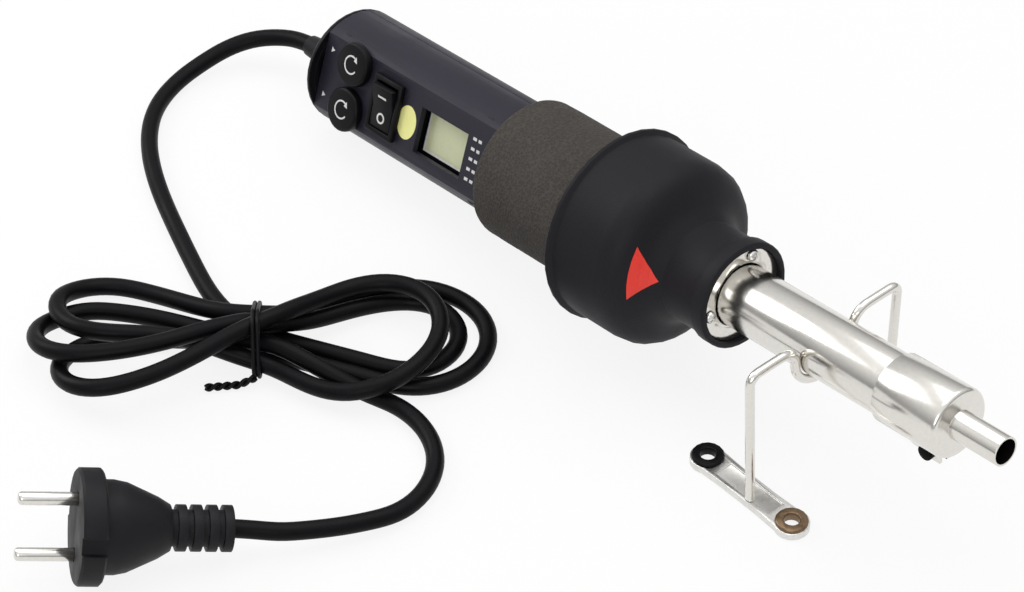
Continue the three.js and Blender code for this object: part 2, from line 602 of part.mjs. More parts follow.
// Barrel, flange plate and its screws
const barrelBore = BARREL_RADIUS - BARREL_WALL;
piece(tool, 'barrel_tube', ring(barrelRear, barrelFront, BARREL_RADIUS, barrelBore), nickelSteel);
const flangeHoles = flangeScrewTurns.map((turn) =>
  onFlangeCircle(rod(flangeRear - PAST, flangeFront + PAST, screwHole, HOLE_SIDES), turn));
piece(tool, 'barrel_flange', cut(ring(flangeRear, flangeFront, FLANGE_RADIUS, BARREL_RADIUS + CLEARANCE),
  ...flangeHoles), nickelSteel);
flangeScrewTurns.forEach((turn, i) => {
  const seat = flangeFront + CLEARANCE;
  const tip = flangeFront - FLANGE_SCREW_LENGTH;
  const screw = turned([[tip, 0], [tip, FLANGE_SCREW_RADIUS], [seat, FLANGE_SCREW_RADIUS],
    [seat, FLANGE_SCREW_HEAD_RADIUS], [seat + FLANGE_SCREW_HEAD * SCREW_CROWN, FLANGE_SCREW_HEAD_RADIUS],
    [seat + FLANGE_SCREW_HEAD, FLANGE_SCREW_HEAD_RADIUS * SCREW_CROWN],
    [seat + FLANGE_SCREW_HEAD, 0]], SMALL_SIDES);
  piece(tool, `flange_screw_${i + 1}`, onFlangeCircle(screw, turn), nickelSteel);
});

// Heater inside the barrel: insulating sleeve, ceramic core, wound coil and sensor
const sleeveRadius = barrelBore - CLEARANCE;
const sleeveBore = sleeveRadius - SLEEVE_WALL;
piece(tool, 'insulating_sleeve', ring(sleeveRear, sleeveFront, sleeveRadius, sleeveBore, FINE_SIDES),
  paleMica);
const armReach = 2 * (sleeveBore - CLEARANCE);
const spiders = [sleeveRear, sleeveFront - CORE_END].flatMap((station) => [
  block([station, station + CORE_END], around(0, armReach), around(0, CORE_ARM)),
  block([station, station + CORE_END], around(0, CORE_ARM), around(0, armReach))]);
const sensorHole = rod(sleeveFront - CORE_BORE_DEPTH, sleeveFront + PAST, CORE_BORE, HOLE_SIDES);
piece(tool, 'heater_core', cut(join(rod(sleeveRear, sleeveFront, CORE_RADIUS), ...spiders), sensorHole),
  whiteCeramic);
class CoilCurve extends THREE.Curve {
  getPoint(t, target = new THREE.Vector3()) {
    const margin = CORE_END + COIL_WIRE;
    const turn = t * COIL_TURNS * 2 * Math.PI;
    const radius = CORE_RADIUS + COIL_GAP + COIL_WIRE / 2;
    const along = sleeveRear + margin + t * (SLEEVE_LENGTH - 2 * margin);
    return target.set(along, radius * Math.cos(turn), radius * Math.sin(turn));
  }
}
const coil = tube(new CoilCurve(), COIL_WIRE / 2, COIL_TURNS * COIL_STEPS, COIL_SIDES);
piece(tool, 'heater_coil', coil, nickelSteel);
const sensorRear = sleeveFront - CORE_BORE_DEPTH + CLEARANCE;
const sensor = rod(sensorRear, sensorRear + SENSOR_LENGTH, SENSOR_RADIUS, HOLE_SIDES);
piece(tool, 'temperature_sensor', sensor, nickelSteel);

// Nozzle: a split sleeve over the barrel, closed by a face that carries the tip
const nozzleBore = BARREL_RADIUS + CLEARANCE;
const faceRear = nozzleFront - NOZZLE_FACE;
const tipFront = nozzleFront + TIP_LENGTH;
const tipBore = TIP_RADIUS - TIP_WALL;
const clampMiddle = nozzleFront - CLAMP_FROM_FACE;
const clampAlong = around(clampMiddle, CLAMP_LENGTH);
const clampBottom = -nozzleRadius - CLAMP_DEPTH;
const clampScrewDrop = -nozzleRadius - CLAMP_DEPTH / 2;
const sideways = (geometry) => geometry.rotateZ(Math.PI / 2).translate(clampMiddle, 0, clampScrewDrop);
const nozzleBody = turned([[nozzleRear, nozzleBore], [nozzleRear, nozzleRadius],
  ...rounded([nozzleFront - NOZZLE_EDGE, nozzleRadius], [nozzleFront, nozzleRadius - NOZZLE_EDGE], true),
  [nozzleFront, TIP_RADIUS], [tipFront, TIP_RADIUS], [tipFront, tipBore], [faceRear, tipBore],
  [faceRear, nozzleBore], [nozzleRear, nozzleBore]]);
const clampEars = [-1, 1].map((way) => {
  const inner = (way * CLAMP_SLOT) / 2;
  const outer = inner + way * CLAMP_EAR;
  const across = [Math.min(inner, outer), Math.max(inner, outer)];
  return block(clampAlong, across, [clampBottom, -nozzleBore - NOZZLE_WALL / 2]);
});
const clampSlit = block([nozzleRear - PAST, clampAlong[1]], around(0, CLAMP_SLOT),
  [-nozzleRadius - PAST, -nozzleBore + PAST]);
const screwEnd = CLAMP_SLOT / 2 + CLAMP_EAR;
piece(tool, 'nozzle', cut(join(nozzleBody, ...clampEars), clampSlit,
  sideways(rod(-wide, wide, CLAMP_SCREW_RADIUS + CLEARANCE, HOLE_SIDES))), nickelSteel);
const headSeat = screwEnd + CLEARANCE;
const screwTip = -headSeat - CLAMP_NUT - PAST;
piece(tool, 'clamp_screw', sideways(turned([[screwTip, 0], [screwTip, CLAMP_SCREW_RADIUS],
  [headSeat, CLAMP_SCREW_RADIUS], [headSeat, CLAMP_SCREW_HEAD_RADIUS],
  [headSeat + CLAMP_SCREW_HEAD, CLAMP_SCREW_HEAD_RADIUS], [headSeat + CLAMP_SCREW_HEAD, 0]], SMALL_SIDES)
  .rotateZ(Math.PI)), nickelSteel);
piece(tool, 'clamp_nut', sideways(ring(headSeat, headSeat + CLAMP_NUT, CLAMP_SCREW_HEAD_RADIUS,
  CLAMP_SCREW_RADIUS + CLEARANCE, NUT_SIDES)), nickelSteel);

// Strain relief, gripped by the tail cap
const reliefHeadRear = TAIL_CAP_WALL + CLEARANCE;
const relief = turned([[-RELIEF_LENGTH, 0], [-RELIEF_LENGTH, RELIEF_TIP_RADIUS], [-CLEARANCE, RELIEF_RADIUS],
  [-CLEARANCE, RELIEF_NECK_RADIUS], [reliefHeadRear, RELIEF_NECK_RADIUS], [reliefHeadRear, RELIEF_RADIUS],
  [reliefHeadRear + RELIEF_HEAD, RELIEF_RADIUS], [reliefHeadRear + RELIEF_HEAD, 0]], FINE_SIDES);
piece(tool, 'cord_strain_relief', relief.translate(0, 0, -RELIEF_DROP), cordRubber);

// The tail cap's rounded edge touches the floor
const tailEdgeMiddle = HANDLE_RADIUS - TAIL_CAP_EDGE;
tool.position.z = TAIL_CAP_EDGE + tailEdgeMiddle * Math.cos(PITCH) - TAIL_CAP_EDGE * Math.sin(PITCH);

// Stand: one bent wire under the barrel, with a foot plate welded to each leg
const stand = new THREE.Group();
stand.position.x = STAND_STATION * Math.cos(PITCH);
object.add(stand);

function arcPoints([y, z], radius, from, to, steps) {
  return Array.from({ length: steps + 1 }, (_, i) => {
    const turn = degToRad(from + ((to - from) * i) / steps);
    return new THREE.Vector3(0, y + radius * Math.cos(turn), z + radius * Math.sin(turn));
  });
}

const axisHeight = tool.position.z + STAND_STATION * Math.sin(PITCH);
const saddleRadius = BARREL_RADIUS / Math.cos(PITCH) + CLEARANCE + WIRE_RADIUS;
const hookRadius = ARM_HEIGHT - axisHeight;
const legTop = ARM_HEIGHT - ARM_BEND;
const legBottom = FOOT_THICKNESS + CLEARANCE;
function halfWire(lean) {
  const legPoint = (share) =>
    new THREE.Vector3(0, -LEG_SIDE + lean * (1 - share), legBottom + (legTop - legBottom) * share);
  return [legPoint(0), legPoint(1 / 3), legPoint(2 / 3),
    ...arcPoints([-LEG_SIDE + ARM_BEND, legTop], ARM_BEND, 180, 90, BEND_STEPS),
    ...arcPoints([-saddleRadius - hookRadius, axisHeight], hookRadius, 90, 0, BEND_STEPS),
    ...arcPoints([0, axisHeight], saddleRadius, 195, 255, BEND_STEPS)];
}
const bottomOfSaddle = new THREE.Vector3(0, 0, axisHeight - saddleRadius);
const farHalf = halfWire(0).map(({ y, z }) => new THREE.Vector3(0, -y, z)).reverse();
const wireCurve = new THREE.CatmullRomCurve3([...halfWire(NEAR_LEG_LEAN), bottomOfSaddle, ...farHalf]);
piece(stand, 'stand_wire', tube(wireCurve, WIRE_RADIUS, WIRE_STEPS, WIRE_SIDES), nickelSteel);

const eyeletBarrel = EYELET_HOLE + EYELET_WALL;
const eyeletReach = FOOT_END_RADIUS - CLEARANCE;
function footPlate() {
  const reach = FOOT_CENTRES / 2;
  const shape = new THREE.Shape();
  shape.absarc(reach, 0, FOOT_END_RADIUS, degToRad(-115), degToRad(115), false);
  shape.lineTo(reach - 2 * FOOT_END_RADIUS, FOOT_WAIST / 2);
  shape.lineTo(-reach + 2 * FOOT_END_RADIUS, FOOT_WAIST / 2);
  shape.absarc(-reach, 0, FOOT_END_RADIUS, degToRad(65), degToRad(295), false);
  shape.lineTo(-reach + 2 * FOOT_END_RADIUS, -FOOT_WAIST / 2);
  shape.lineTo(reach - 2 * FOOT_END_RADIUS, -FOOT_WAIST / 2);
  [-reach, reach].forEach((x) =>
    shape.holes.push(new THREE.Path().absarc(x, 0, eyeletBarrel + CLEARANCE, 0, 2 * Math.PI, true)));
  const blank = new THREE.ExtrudeGeometry(shape,
    { depth: FOOT_THICKNESS, bevelEnabled: false, curveSegments: 10 });
  const trayEnd = reach - FOOT_END_RADIUS - FOOT_RIM;
  const traySide = FOOT_WAIST / 2 - FOOT_RIM;
  return cut(blank, block([-trayEnd, trayEnd], [-traySide, traySide],
    [FOOT_THICKNESS - FOOT_TRAY_DEPTH, FOOT_THICKNESS + PAST]));
}

function eyelet() {
  const under = FOOT_THICKNESS + CLEARANCE;
  return upright(turned([[CLEARANCE, EYELET_HOLE], [CLEARANCE, eyeletBarrel], [under, eyeletBarrel],
    [under, eyeletReach], [under + EYELET_FLANGE, eyeletReach - EYELET_FLANGE / 2],
    [under + EYELET_FLANGE, EYELET_HOLE], [CLEARANCE, EYELET_HOLE]], SMALL_SIDES));
}

// Each leg stands on its plate, just inside the plate's near edge
const footFromLeg = FOOT_WAIST / 2 - WIRE_RADIUS - CLEARANCE;
[['near', NEAR_LEG_LEAN - LEG_SIDE], ['far', LEG_SIDE]].forEach(([side, legFoot]) => {
  const foot = new THREE.Group();
  foot.position.set(-FOOT_BEHIND_LEG, legFoot + footFromLeg, 0);
  stand.add(foot);
  piece(foot, `${side}_foot_plate`, footPlate(), nickelSteel);
  piece(foot, `${side}_rear_eyelet`, eyelet().translate(-FOOT_CENTRES / 2, 0, 0), blackPlastic);
  piece(foot, `${side}_front_eyelet`, eyelet().translate(FOOT_CENTRES / 2, 0, 0), brownSteel);
});

// The origin is under the middle of the tool and stand
object.updateMatrixWorld(true);
const reliefMesh = tool.getObjectByName('cord_strain_relief');
const standing = new THREE.Box3();
object.traverse((node) => {
  if (node.isMesh && node !== reliefMesh) standing.expandByObject(node, true);
});
const middle = standing.getCenter(new THREE.Vector3());
tool.position.x -= middle.x;
stand.position.x -= middle.x;
object.position.y = -middle.y;

// Lead and tail, along their routes
const route = (points) => new THREE.CatmullRomCurve3(points.map((at) => new THREE.Vector3(...at)));
const tailCurve = route(TAIL_ROUTE);
[['cord_lead', route(LEAD_ROUTE)], ['cord_tail', tailCurve]].forEach(([name, curve]) => {
  const steps = Math.round(curve.getLength() / CORD_STEP);
  piece(object, name, tube(curve, CORD_DIAMETER / 2, steps, CORD_SIDES), cordRubber);
});

// Hank: loops round two end arcs, drawn in at the waist by two wide arcs
const hankRest = CORD_DIAMETER / 2 + TIE_THICKNESS + TIE_SLACK + TIE_LIFT;
const endMiddle = HANK_REACH - HANK_END_RADIUS;
const waistRadius = (endMiddle ** 2 + HANK_WAIST ** 2 - HANK_END_RADIUS ** 2)
  / (2 * (HANK_END_RADIUS - HANK_WAIST));
const waistMiddle = HANK_WAIST + waistRadius;
const waistTurn = Math.atan2(endMiddle, waistMiddle);
const endTurn = Math.PI - Math.atan2(waistMiddle, endMiddle);
const quarter = Math.PI / 2;
const startTurn = HANK_START - quarter;
const hankArcs = [
  { x: 0, y: waistMiddle, radius: waistRadius, from: startTurn, to: waistTurn - quarter, out: -1 },
  { x: endMiddle, y: 0, radius: HANK_END_RADIUS, from: endTurn, to: -endTurn, out: 1 },
  { x: 0, y: -waistMiddle, radius: waistRadius, from: quarter - waistTurn, to: quarter + waistTurn, out: -1 },
  { x: -endMiddle, y: 0, radius: HANK_END_RADIUS, from: endTurn - Math.PI, to: -endTurn - Math.PI, out: 1 },
  { x: 0, y: waistMiddle, radius: waistRadius, from: -waistTurn - quarter, to: startTurn, out: -1 },
];
const arcLength = (arc) => arc.radius * Math.abs(arc.to - arc.from);
const loopLength = hankArcs.reduce((sum, arc) => sum + arcLength(arc), 0);

function loopStation(share, lane) {
  let left = share * loopLength;
  const arc = hankArcs.find((one) => {
    const here = left <= arcLength(one) + 1e-6;
    if (!here) left -= arcLength(one);
    return here;
  });
  const turn = arc.from + ((arc.to - arc.from) * left) / arcLength(arc);
  const radius = arc.radius + arc.out * lane * LANE_STEP;
  return [arc.x + radius * Math.cos(turn), arc.y + radius * Math.sin(turn)];
}

// The loops spiral in, climb a layer in the half turn where they reverse, and spiral out again
const halfTurns = HANK_TURNS / 2;
const ramp = (value, from, to) => THREE.MathUtils.smoothstep(value, from, to);
function hankPoint(turns) {
  const share = turns % 1;
  const [along, across] = loopStation(share, Math.abs(halfTurns - turns));
  const layer = THREE.MathUtils.clamp(2 * (turns - halfTurns) + 0.5, 0, 1)
    + ramp(turns, HANK_TURNS - CLIMB_FROM, HANK_TURNS - CLIMB_TO);
  return new THREE.Vector3(along, across, hankRest + layer * LAYER_STEP);
}

const hankLoops = Array.from({ length: HANK_TURNS * HANK_STEPS + 1 }, (_, i) => hankPoint(i / HANK_STEPS));
const straightOut = (end, next) => {
  const away = end.clone().sub(next).setZ(0).normalize();
  return end.clone().addScaledVector(away, CORD_DIAMETER);
};
const hankStations = [straightOut(hankLoops[0], hankPoint(0.01)), ...hankLoops,
  straightOut(hankLoops.at(-1), hankPoint(HANK_TURNS - 0.01))];

class HankCurve extends THREE.Curve {
  getPoint(t, target = new THREE.Vector3()) {
    const at = THREE.MathUtils.clamp(t, 0, 1) * (hankStations.length - 1);
    const before = Math.min(Math.floor(at), hankStations.length - 2);
    return target.lerpVectors(hankStations[before], hankStations[before + 1], at - before);
  }

  getUtoTmapping(u) {
    return u;
  }
}

const hank = new THREE.Group();
hank.position.copy(HANK_CENTRE);
hank.rotation.z = HANK_HEADING;
object.add(hank);
const hankCurve = new HankCurve();
piece(hank, 'cord_hank', tube(hankCurve, CORD_DIAMETER / 2, hankStations.length - 1, HANK_SIDES), cordRubber);

// The least gap between the hank's loops, measured on points along the middle of the cord
function leastSelfGap() {
  const points = hankCurve.getPoints(4 * (hankStations.length - 1));
  const apart = HANK_STEPS;
  let least = Infinity;
  points.forEach((point, i) => {
    for (let j = i + apart; j < points.length; j += 1) least = Math.min(least, point.distanceTo(points[j]));
  });
  return least - CORD_DIAMETER;
}
const selfGap = leastSelfGap();
console.log(`hank: least gap to itself ${selfGap.toFixed(2)} mm, wanted over ${LEAST_SELF_GAP} mm`);
const cordLength = route(LEAD_ROUTE).getLength() + hankCurve.getLength() + tailCurve.getLength();
console.log(`cord: ${cordLength.toFixed(0)} mm from the strain relief to the plug`);

// Tie: a band drawn round every strand at the hank's waist
function strandsAcross(along) {
  const inHank = tailCurve.getPoints(200).map((point) =>
    point.clone().sub(HANK_CENTRE).applyAxisAngle(new THREE.Vector3(0, 0, 1), -HANK_HEADING));
  return [hankCurve.getPoints(8 * hankStations.length), inHank].flatMap((points) =>
    points.filter((point, i) => i > 0 && Math.abs(point.y) < HANK_REACH / 2
      && (points[i - 1].x - along) * (point.x - along) <= 0));
}

function hull(points) {
  const sorted = [...points].sort((a, b) => a.x - b.x || a.y - b.y);
  const turn = (a, b, c) => (b.x - a.x) * (c.y - a.y) - (b.y - a.y) * (c.x - a.x);
  const chain = (list) => list.reduce((kept, point) => {
    while (kept.length > 1 && turn(kept.at(-2), kept.at(-1), point) <= 0.01) kept.pop();
    return [...kept, point];
  }, []).slice(0, -1);
  return [...chain(sorted), ...chain(sorted.reverse())];
}

const tieEnds = around(0, TIE_WIDTH);
const tieStrands = [tieEnds[0], 0, tieEnds[1]].flatMap(strandsAcross);
function tieOutline(clear) {
  const turns = Array.from({ length: TIE_SIDES }, (_, i) => (i / TIE_SIDES) * 2 * Math.PI);
  const reach = CORD_DIAMETER / 2 + clear;
  return hull(tieStrands.flatMap(({ y, z }) =>
    turns.map((turn) => new THREE.Vector2(y + reach * Math.cos(turn), z + reach * Math.sin(turn)))));
}
const tieShape = new THREE.Shape(tieOutline(TIE_SLACK + TIE_THICKNESS));
tieShape.holes.push(new THREE.Path(tieOutline(TIE_SLACK).reverse()));
const tieBand = new THREE.ExtrudeGeometry(tieShape, { depth: TIE_WIDTH, bevelEnabled: false })
  .rotateX(Math.PI / 2).rotateZ(Math.PI / 2).translate(-TIE_WIDTH / 2, 0, 0);
piece(hank, 'cord_tie', tieBand, tieWire);

// Plug: flange, body and ribbed strain relief in one moulding, with two round pins
const plug = new THREE.Group();
plug.position.copy(PLUG_PLACE);
plug.rotation.set(PLUG_ROLL, -PLUG_RISE, PLUG_HEADING, 'ZYX');
object.add(plug);
const flangeBack = -PLUG_FLANGE_LENGTH / 2;
const plugFace = PLUG_FLANGE_LENGTH / 2;
const bodyRear = flangeBack - PLUG_BODY_LENGTH;
const plugRear = bodyRear - PLUG_RELIEF_LENGTH;
const ribPitch = PLUG_RELIEF_LENGTH / PLUG_RIBS;
const grooveRadius = PLUG_RELIEF_RADIUS - PLUG_RIB_DEPTH;
const ribs = Array.from({ length: PLUG_RIBS }, (_, i) => plugRear + i * ribPitch).flatMap((rear) => [
  [rear, PLUG_RELIEF_RADIUS], [rear + PLUG_RIB_LENGTH, PLUG_RELIEF_RADIUS],
  [rear + PLUG_RIB_LENGTH, grooveRadius], [rear + ribPitch, grooveRadius]]);
const plugBody = turned([[plugRear, 0], ...ribs, [bodyRear, PLUG_RELIEF_RADIUS],
  [bodyRear + PLUG_SHOULDER, PLUG_SHOULDER_RADIUS], [flangeBack - PLUG_WAIST, PLUG_BODY_RADIUS - PLUG_EDGE],
  [flangeBack - PLUG_WAIST / 2, PLUG_BODY_RADIUS], [flangeBack, PLUG_BODY_RADIUS],
  [flangeBack, PLUG_FLANGE_RADIUS - PLUG_EDGE], [flangeBack + PLUG_EDGE, PLUG_FLANGE_RADIUS],
  [plugFace - PLUG_EDGE, PLUG_FLANGE_RADIUS], [plugFace, PLUG_FLANGE_RADIUS - PLUG_EDGE],
  [plugFace, 0]], FINE_SIDES);
const notches = [-1, 1].map((way) => block([flangeBack - PAST, plugFace + PAST],
  around(way * PLUG_FLANGE_RADIUS, 2 * PLUG_NOTCH), around(0, 2 * PLUG_NOTCH)));
const pinRear = plugFace - PIN_ROOT;
const pinSides = [-PIN_SPACING / 2, PIN_SPACING / 2];
const pinHoles = pinSides.map((side) =>
  rod(pinRear - CLEARANCE, plugFace + PAST, PIN_RADIUS + CLEARANCE).translate(0, 0, side));
piece(plug, 'plug_body', cut(plugBody, ...notches, ...pinHoles), plugRubber);
pinSides.forEach((side, i) => {
  const tip = plugFace + PIN_LENGTH;
  const pin = turned([[pinRear, 0], [pinRear, PIN_RADIUS],
    ...rounded([tip - PIN_EDGE, PIN_RADIUS], [tip, PIN_RADIUS - PIN_EDGE], true), [tip, 0]], SMALL_SIDES);
  piece(plug, `plug_pin_${i + 1}`, pin.translate(0, 0, side), nickelSteel);
});

export default object;
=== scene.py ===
import functools
import math

import bmesh
import bpy
import numpy as np
from mathutils import Matrix, Vector, geometry, noise


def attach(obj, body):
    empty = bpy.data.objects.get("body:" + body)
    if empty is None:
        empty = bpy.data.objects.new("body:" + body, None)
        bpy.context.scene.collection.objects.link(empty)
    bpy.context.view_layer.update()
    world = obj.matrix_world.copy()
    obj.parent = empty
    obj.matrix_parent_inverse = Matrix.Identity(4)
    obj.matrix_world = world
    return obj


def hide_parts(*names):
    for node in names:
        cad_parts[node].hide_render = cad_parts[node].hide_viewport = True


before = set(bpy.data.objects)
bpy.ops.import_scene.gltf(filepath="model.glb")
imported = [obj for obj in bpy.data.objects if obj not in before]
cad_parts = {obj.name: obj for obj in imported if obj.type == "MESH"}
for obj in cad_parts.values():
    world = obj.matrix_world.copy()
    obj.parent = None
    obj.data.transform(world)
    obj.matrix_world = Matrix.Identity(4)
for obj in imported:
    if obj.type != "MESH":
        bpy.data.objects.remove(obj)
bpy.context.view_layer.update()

bl_info = {
    "name": "Hot air soldering tool",
    "version": (1, 0, 0),
    "blender": (4, 5, 0),
    "location": "View3D > Sidebar > Hot air tool",
    "description": "Dresses a hot air soldering tool on its wire stand, with its lead and plug",
    "category": "Object",
}

# Lengths in the pieces below are millimetres, and the places turn them into the frame's metres
MM = 0.001
MILLIMETRES = Matrix.Scale(MM, 4)

# Angles in degrees over which an edge stays sharp: on moulded pieces, on tubes, and on soft or bent ones
SHARP = 38
TUBE_SHARP = 50
SOFT_SHARP = 60

# Steps across a rounded edge, and straight steps that stand for each stretch of a smooth line
BEVEL_STEPS = 2
CURVE_STEPS = 24

# Places: the tool lies nose up on its stand, and its panel is turned towards the near side
PITCH = math.radians(7.8)
TOOL = Matrix.Translation((-0.157811, -0.0037, 0.020924)) @ Matrix.Rotation(-PITCH, 4, "Y") @ MILLIMETRES
PANEL = TOOL @ Matrix.Rotation(math.radians(66), 4, "X")
STAND = Matrix.Translation((0.081454, -0.0037, 0)) @ MILLIMETRES
HANK = Matrix.Translation((-0.081, -0.1083, 0)) @ Matrix.Rotation(math.radians(48.73), 4, "Z") @ MILLIMETRES

# Where the lead lies, chosen along the photograph's strands: down from the strain relief and along
# the floor, three times through the tied waist of the hank with a loop to each side, and round to the plug
LEAD_OUT = [
    (-181.5, -3.7, 14.5), (-187.5, -4.4, 13.6), (-193.2, -6.4, 12.4), (-198, -10, 11), (-203, -14, 9.5),
    (-206, -19, 7.9), (-208, -25, 6.4), (-208.7, -31, 5.1), (-208.8, -38, 4.1), (-208, -45, 3.4),
    (-206, -52, 3.2), (-202, -61, 3.2), (-195, -68, 3.2), (-186, -75, 3.2), (-174, -82, 3.2),
    (-161, -88, 3.2), (-147, -93, 3.2), (-132, -98, 3.2),
]
FIRST_RIGHT_LOOP = [
    (-119, -102, 3.2), (-108, -105, 3.2), (-99, -106, 3.2), (-90, -106, 3.2), (-83, -105, 3.2),
    (-73, -98, 3.2), (-60, -93, 3.2), (-48, -89, 3.2), (-39, -81, 3.2), (-33, -70, 3.2), (-33, -58, 3.2),
    (-38, -51, 3.2), (-50, -50, 3.2), (-61, -55, 3.2), (-71, -65, 3.2), (-78, -78, 3.2), (-79, -93, 5),
    (-80, -107, 8.6),
]
FIRST_LEFT_LOOP = [
    (-82, -118, 13), (-87, -125, 13), (-97, -138, 10), (-106, -152, 9.4), (-116, -164, 9.4),
    (-127, -168, 7), (-138, -166, 4), (-141, -159, 3.2), (-137, -149, 3.2), (-126, -139, 3.2),
    (-113, -129, 3.2), (-100, -119, 3.2), (-88, -114, 3.2), (-77, -109, 3.2),
]
SECOND_RIGHT_LOOP = [
    (-67, -104, 3.2), (-54, -98, 3.2), (-41, -94, 5), (-28, -90, 9), (-21, -80, 7), (-23, -64, 3.2),
    (-28, -50, 3.2), (-39, -43, 3.2), (-52, -42, 3.2), (-62, -47, 4), (-69, -58, 6), (-72, -69, 8),
    (-74, -82, 9.4), (-78, -94, 9.4), (-85, -103, 8.6),
]
SECOND_LEFT_LOOP = [
    (-94, -109, 9.4), (-102, -114, 9.4), (-118, -119, 6), (-132, -125, 3.2), (-142, -135, 3.2),
    (-146, -145, 3.2), (-141, -153, 4), (-126, -155, 8), (-114, -146, 9.4), (-101, -132, 9.4),
    (-92, -122, 9.4), (-82, -118, 9), (-72, -113, 4),
]
THIRD_RIGHT_LOOP = [
    (-59, -111, 3.2), (-45, -105, 3.2), (-33, -99, 9.4), (-31, -85, 12), (-36, -69, 10.5), (-45, -58, 10),
    (-56, -53, 10.5), (-70, -55, 8), (-77, -64, 7), (-78, -78, 10), (-75, -95, 14), (-76, -109, 15),
]
THIRD_LEFT_LOOP = [
    (-78, -121, 15), (-83, -132, 10), (-91, -147, 5), (-100, -161, 3.2), (-108, -170, 3.2),
    (-117, -173, 3.2), (-123, -168, 3.2), (-119, -158, 3.2), (-113, -147, 3.2), (-105, -135, 3.2),
    (-94, -123, 3.5), (-84, -117, 6), (-74, -111, 8.6),
]
TAIL = [
    (-61, -109, 8), (-50, -104, 4.5), (-40, -97, 3.2), (-31, -91, 3.2), (-20, -91, 3.2), (-11, -93, 3.2),
    (1, -98, 3.2), (7, -104, 3.3), (11, -112, 3.5), (13, -121, 3.9), (10, -131, 4.6), (6, -142, 5.6),
    (0, -154, 7), (-6, -164, 8.4), (-10.1, -167.6, 9.2), (-13.3, -172.7, 10.4),
]
LEAD_POINTS = [
    *LEAD_OUT, *FIRST_RIGHT_LOOP, *FIRST_LEFT_LOOP, *SECOND_RIGHT_LOOP, *SECOND_LEFT_LOOP,
    *THIRD_RIGHT_LOOP, *THIRD_LEFT_LOOP, *TAIL,
]

# Camera, in metres, and its lens, in millimetres
CAMERA_PLACE = Vector((0.6782, -0.6602, 0.9044))
CAMERA_AIM = Vector((-0.0441, -0.0264, 0))
SENSOR_WIDTH = 36
FOCAL_LENGTH = 134.54


def linear(text):
    """A linear colour from an sRGB hex value."""
    channels = [int(text[i:i + 2], 16) / 255 for i in (1, 3, 5)]
    return tuple(c / 12.92 if c <= 0.04045 else ((c + 0.055) / 1.055) ** 2.4 for c in channels)


def colour(label, text):
    """A colour that a user may change."""
    return bpy.props.FloatVectorProperty(name=label, description=f"Colour of the {label.lower()}",
                                         subtype="COLOR", size=3, min=0, max=1, default=linear(text))


def length(label, millimetres, use):
    """A length that a user may change."""
    return bpy.props.FloatProperty(name=label, description=use, subtype="DISTANCE", unit="LENGTH",
                                   min=0, default=millimetres * MM)


class HotAirColours(bpy.types.PropertyGroup):
    """Colours of the finishes"""
    handle: colour("Handle", "#2a2833")
    fittings: colour("Black fittings", "#0f0f12")
    housing: colour("Blower housing", "#202024")
    foam: colour("Foam grip", "#4b4743")
    metal: colour("Nickel plate", "#e2dfd9")
    zinc: colour("Zinc plate", "#e6e5e2")
    scale: colour("Scaled steel", "#1c1a19")
    # The front rings' bronze-brown is a painted reflection, a tone for what the rings reflect
    ring: colour("Browned rings", "#8a735c")
    sheath: colour("Lead", "#0d0d10")
    plug: colour("Plug", "#131317")
    display: colour("Display", "#d6d9b2")
    sticker: colour("Sticker", "#faf8a2")
    marks: colour("Printed marks", "#e8e8e6")
    warning: colour("Red triangle", "#f93a2b")
    board: colour("Circuit board", "#2c5a3a")
    ceramic: colour("Heater core", "#e6e0d4")
    mica: colour("Mica sleeve", "#b8a888")
    floor: colour("Floor", "#f8f8f8")


class HotAirSizes(bpy.types.PropertyGroup):
    """Sizes of the dressed pieces"""
    cord: length("Lead diameter", 6.2, "Diameter of the mains lead")
    wire: length("Stand wire", 3.2, "Diameter of the stand's wire")
    tie: length("Tie wire", 1.5, "Diameter of the coated wire round the hank")
    edge: length("Edge rounding", 0.25, "Rounding of moulded and pressed edges")
    print_lift: length("Print thickness", 0.06, "Thickness of printed marks and stickers")


def palette(name):
    """A colour of the current scene, with alpha."""
    return (*getattr(bpy.context.scene.hot_air_colours, name), 1)


def size(name):
    """A size of the current scene, in millimetres."""
    return getattr(bpy.context.scene.hot_air_sizes, name) / MM


# Materials


def node(tree, kind, values=None, links=None, **settings):
    """Adds a node with its settings, its input values and its links."""
    made = tree.nodes.new(kind)
    for key, value in settings.items():
        setattr(made, key, value)
    for key, value in (values or {}).items():
        made.inputs[key].default_value = value
    for key, socket in (links or {}).items():
        tree.links.new(socket, made.inputs[key])
    return made


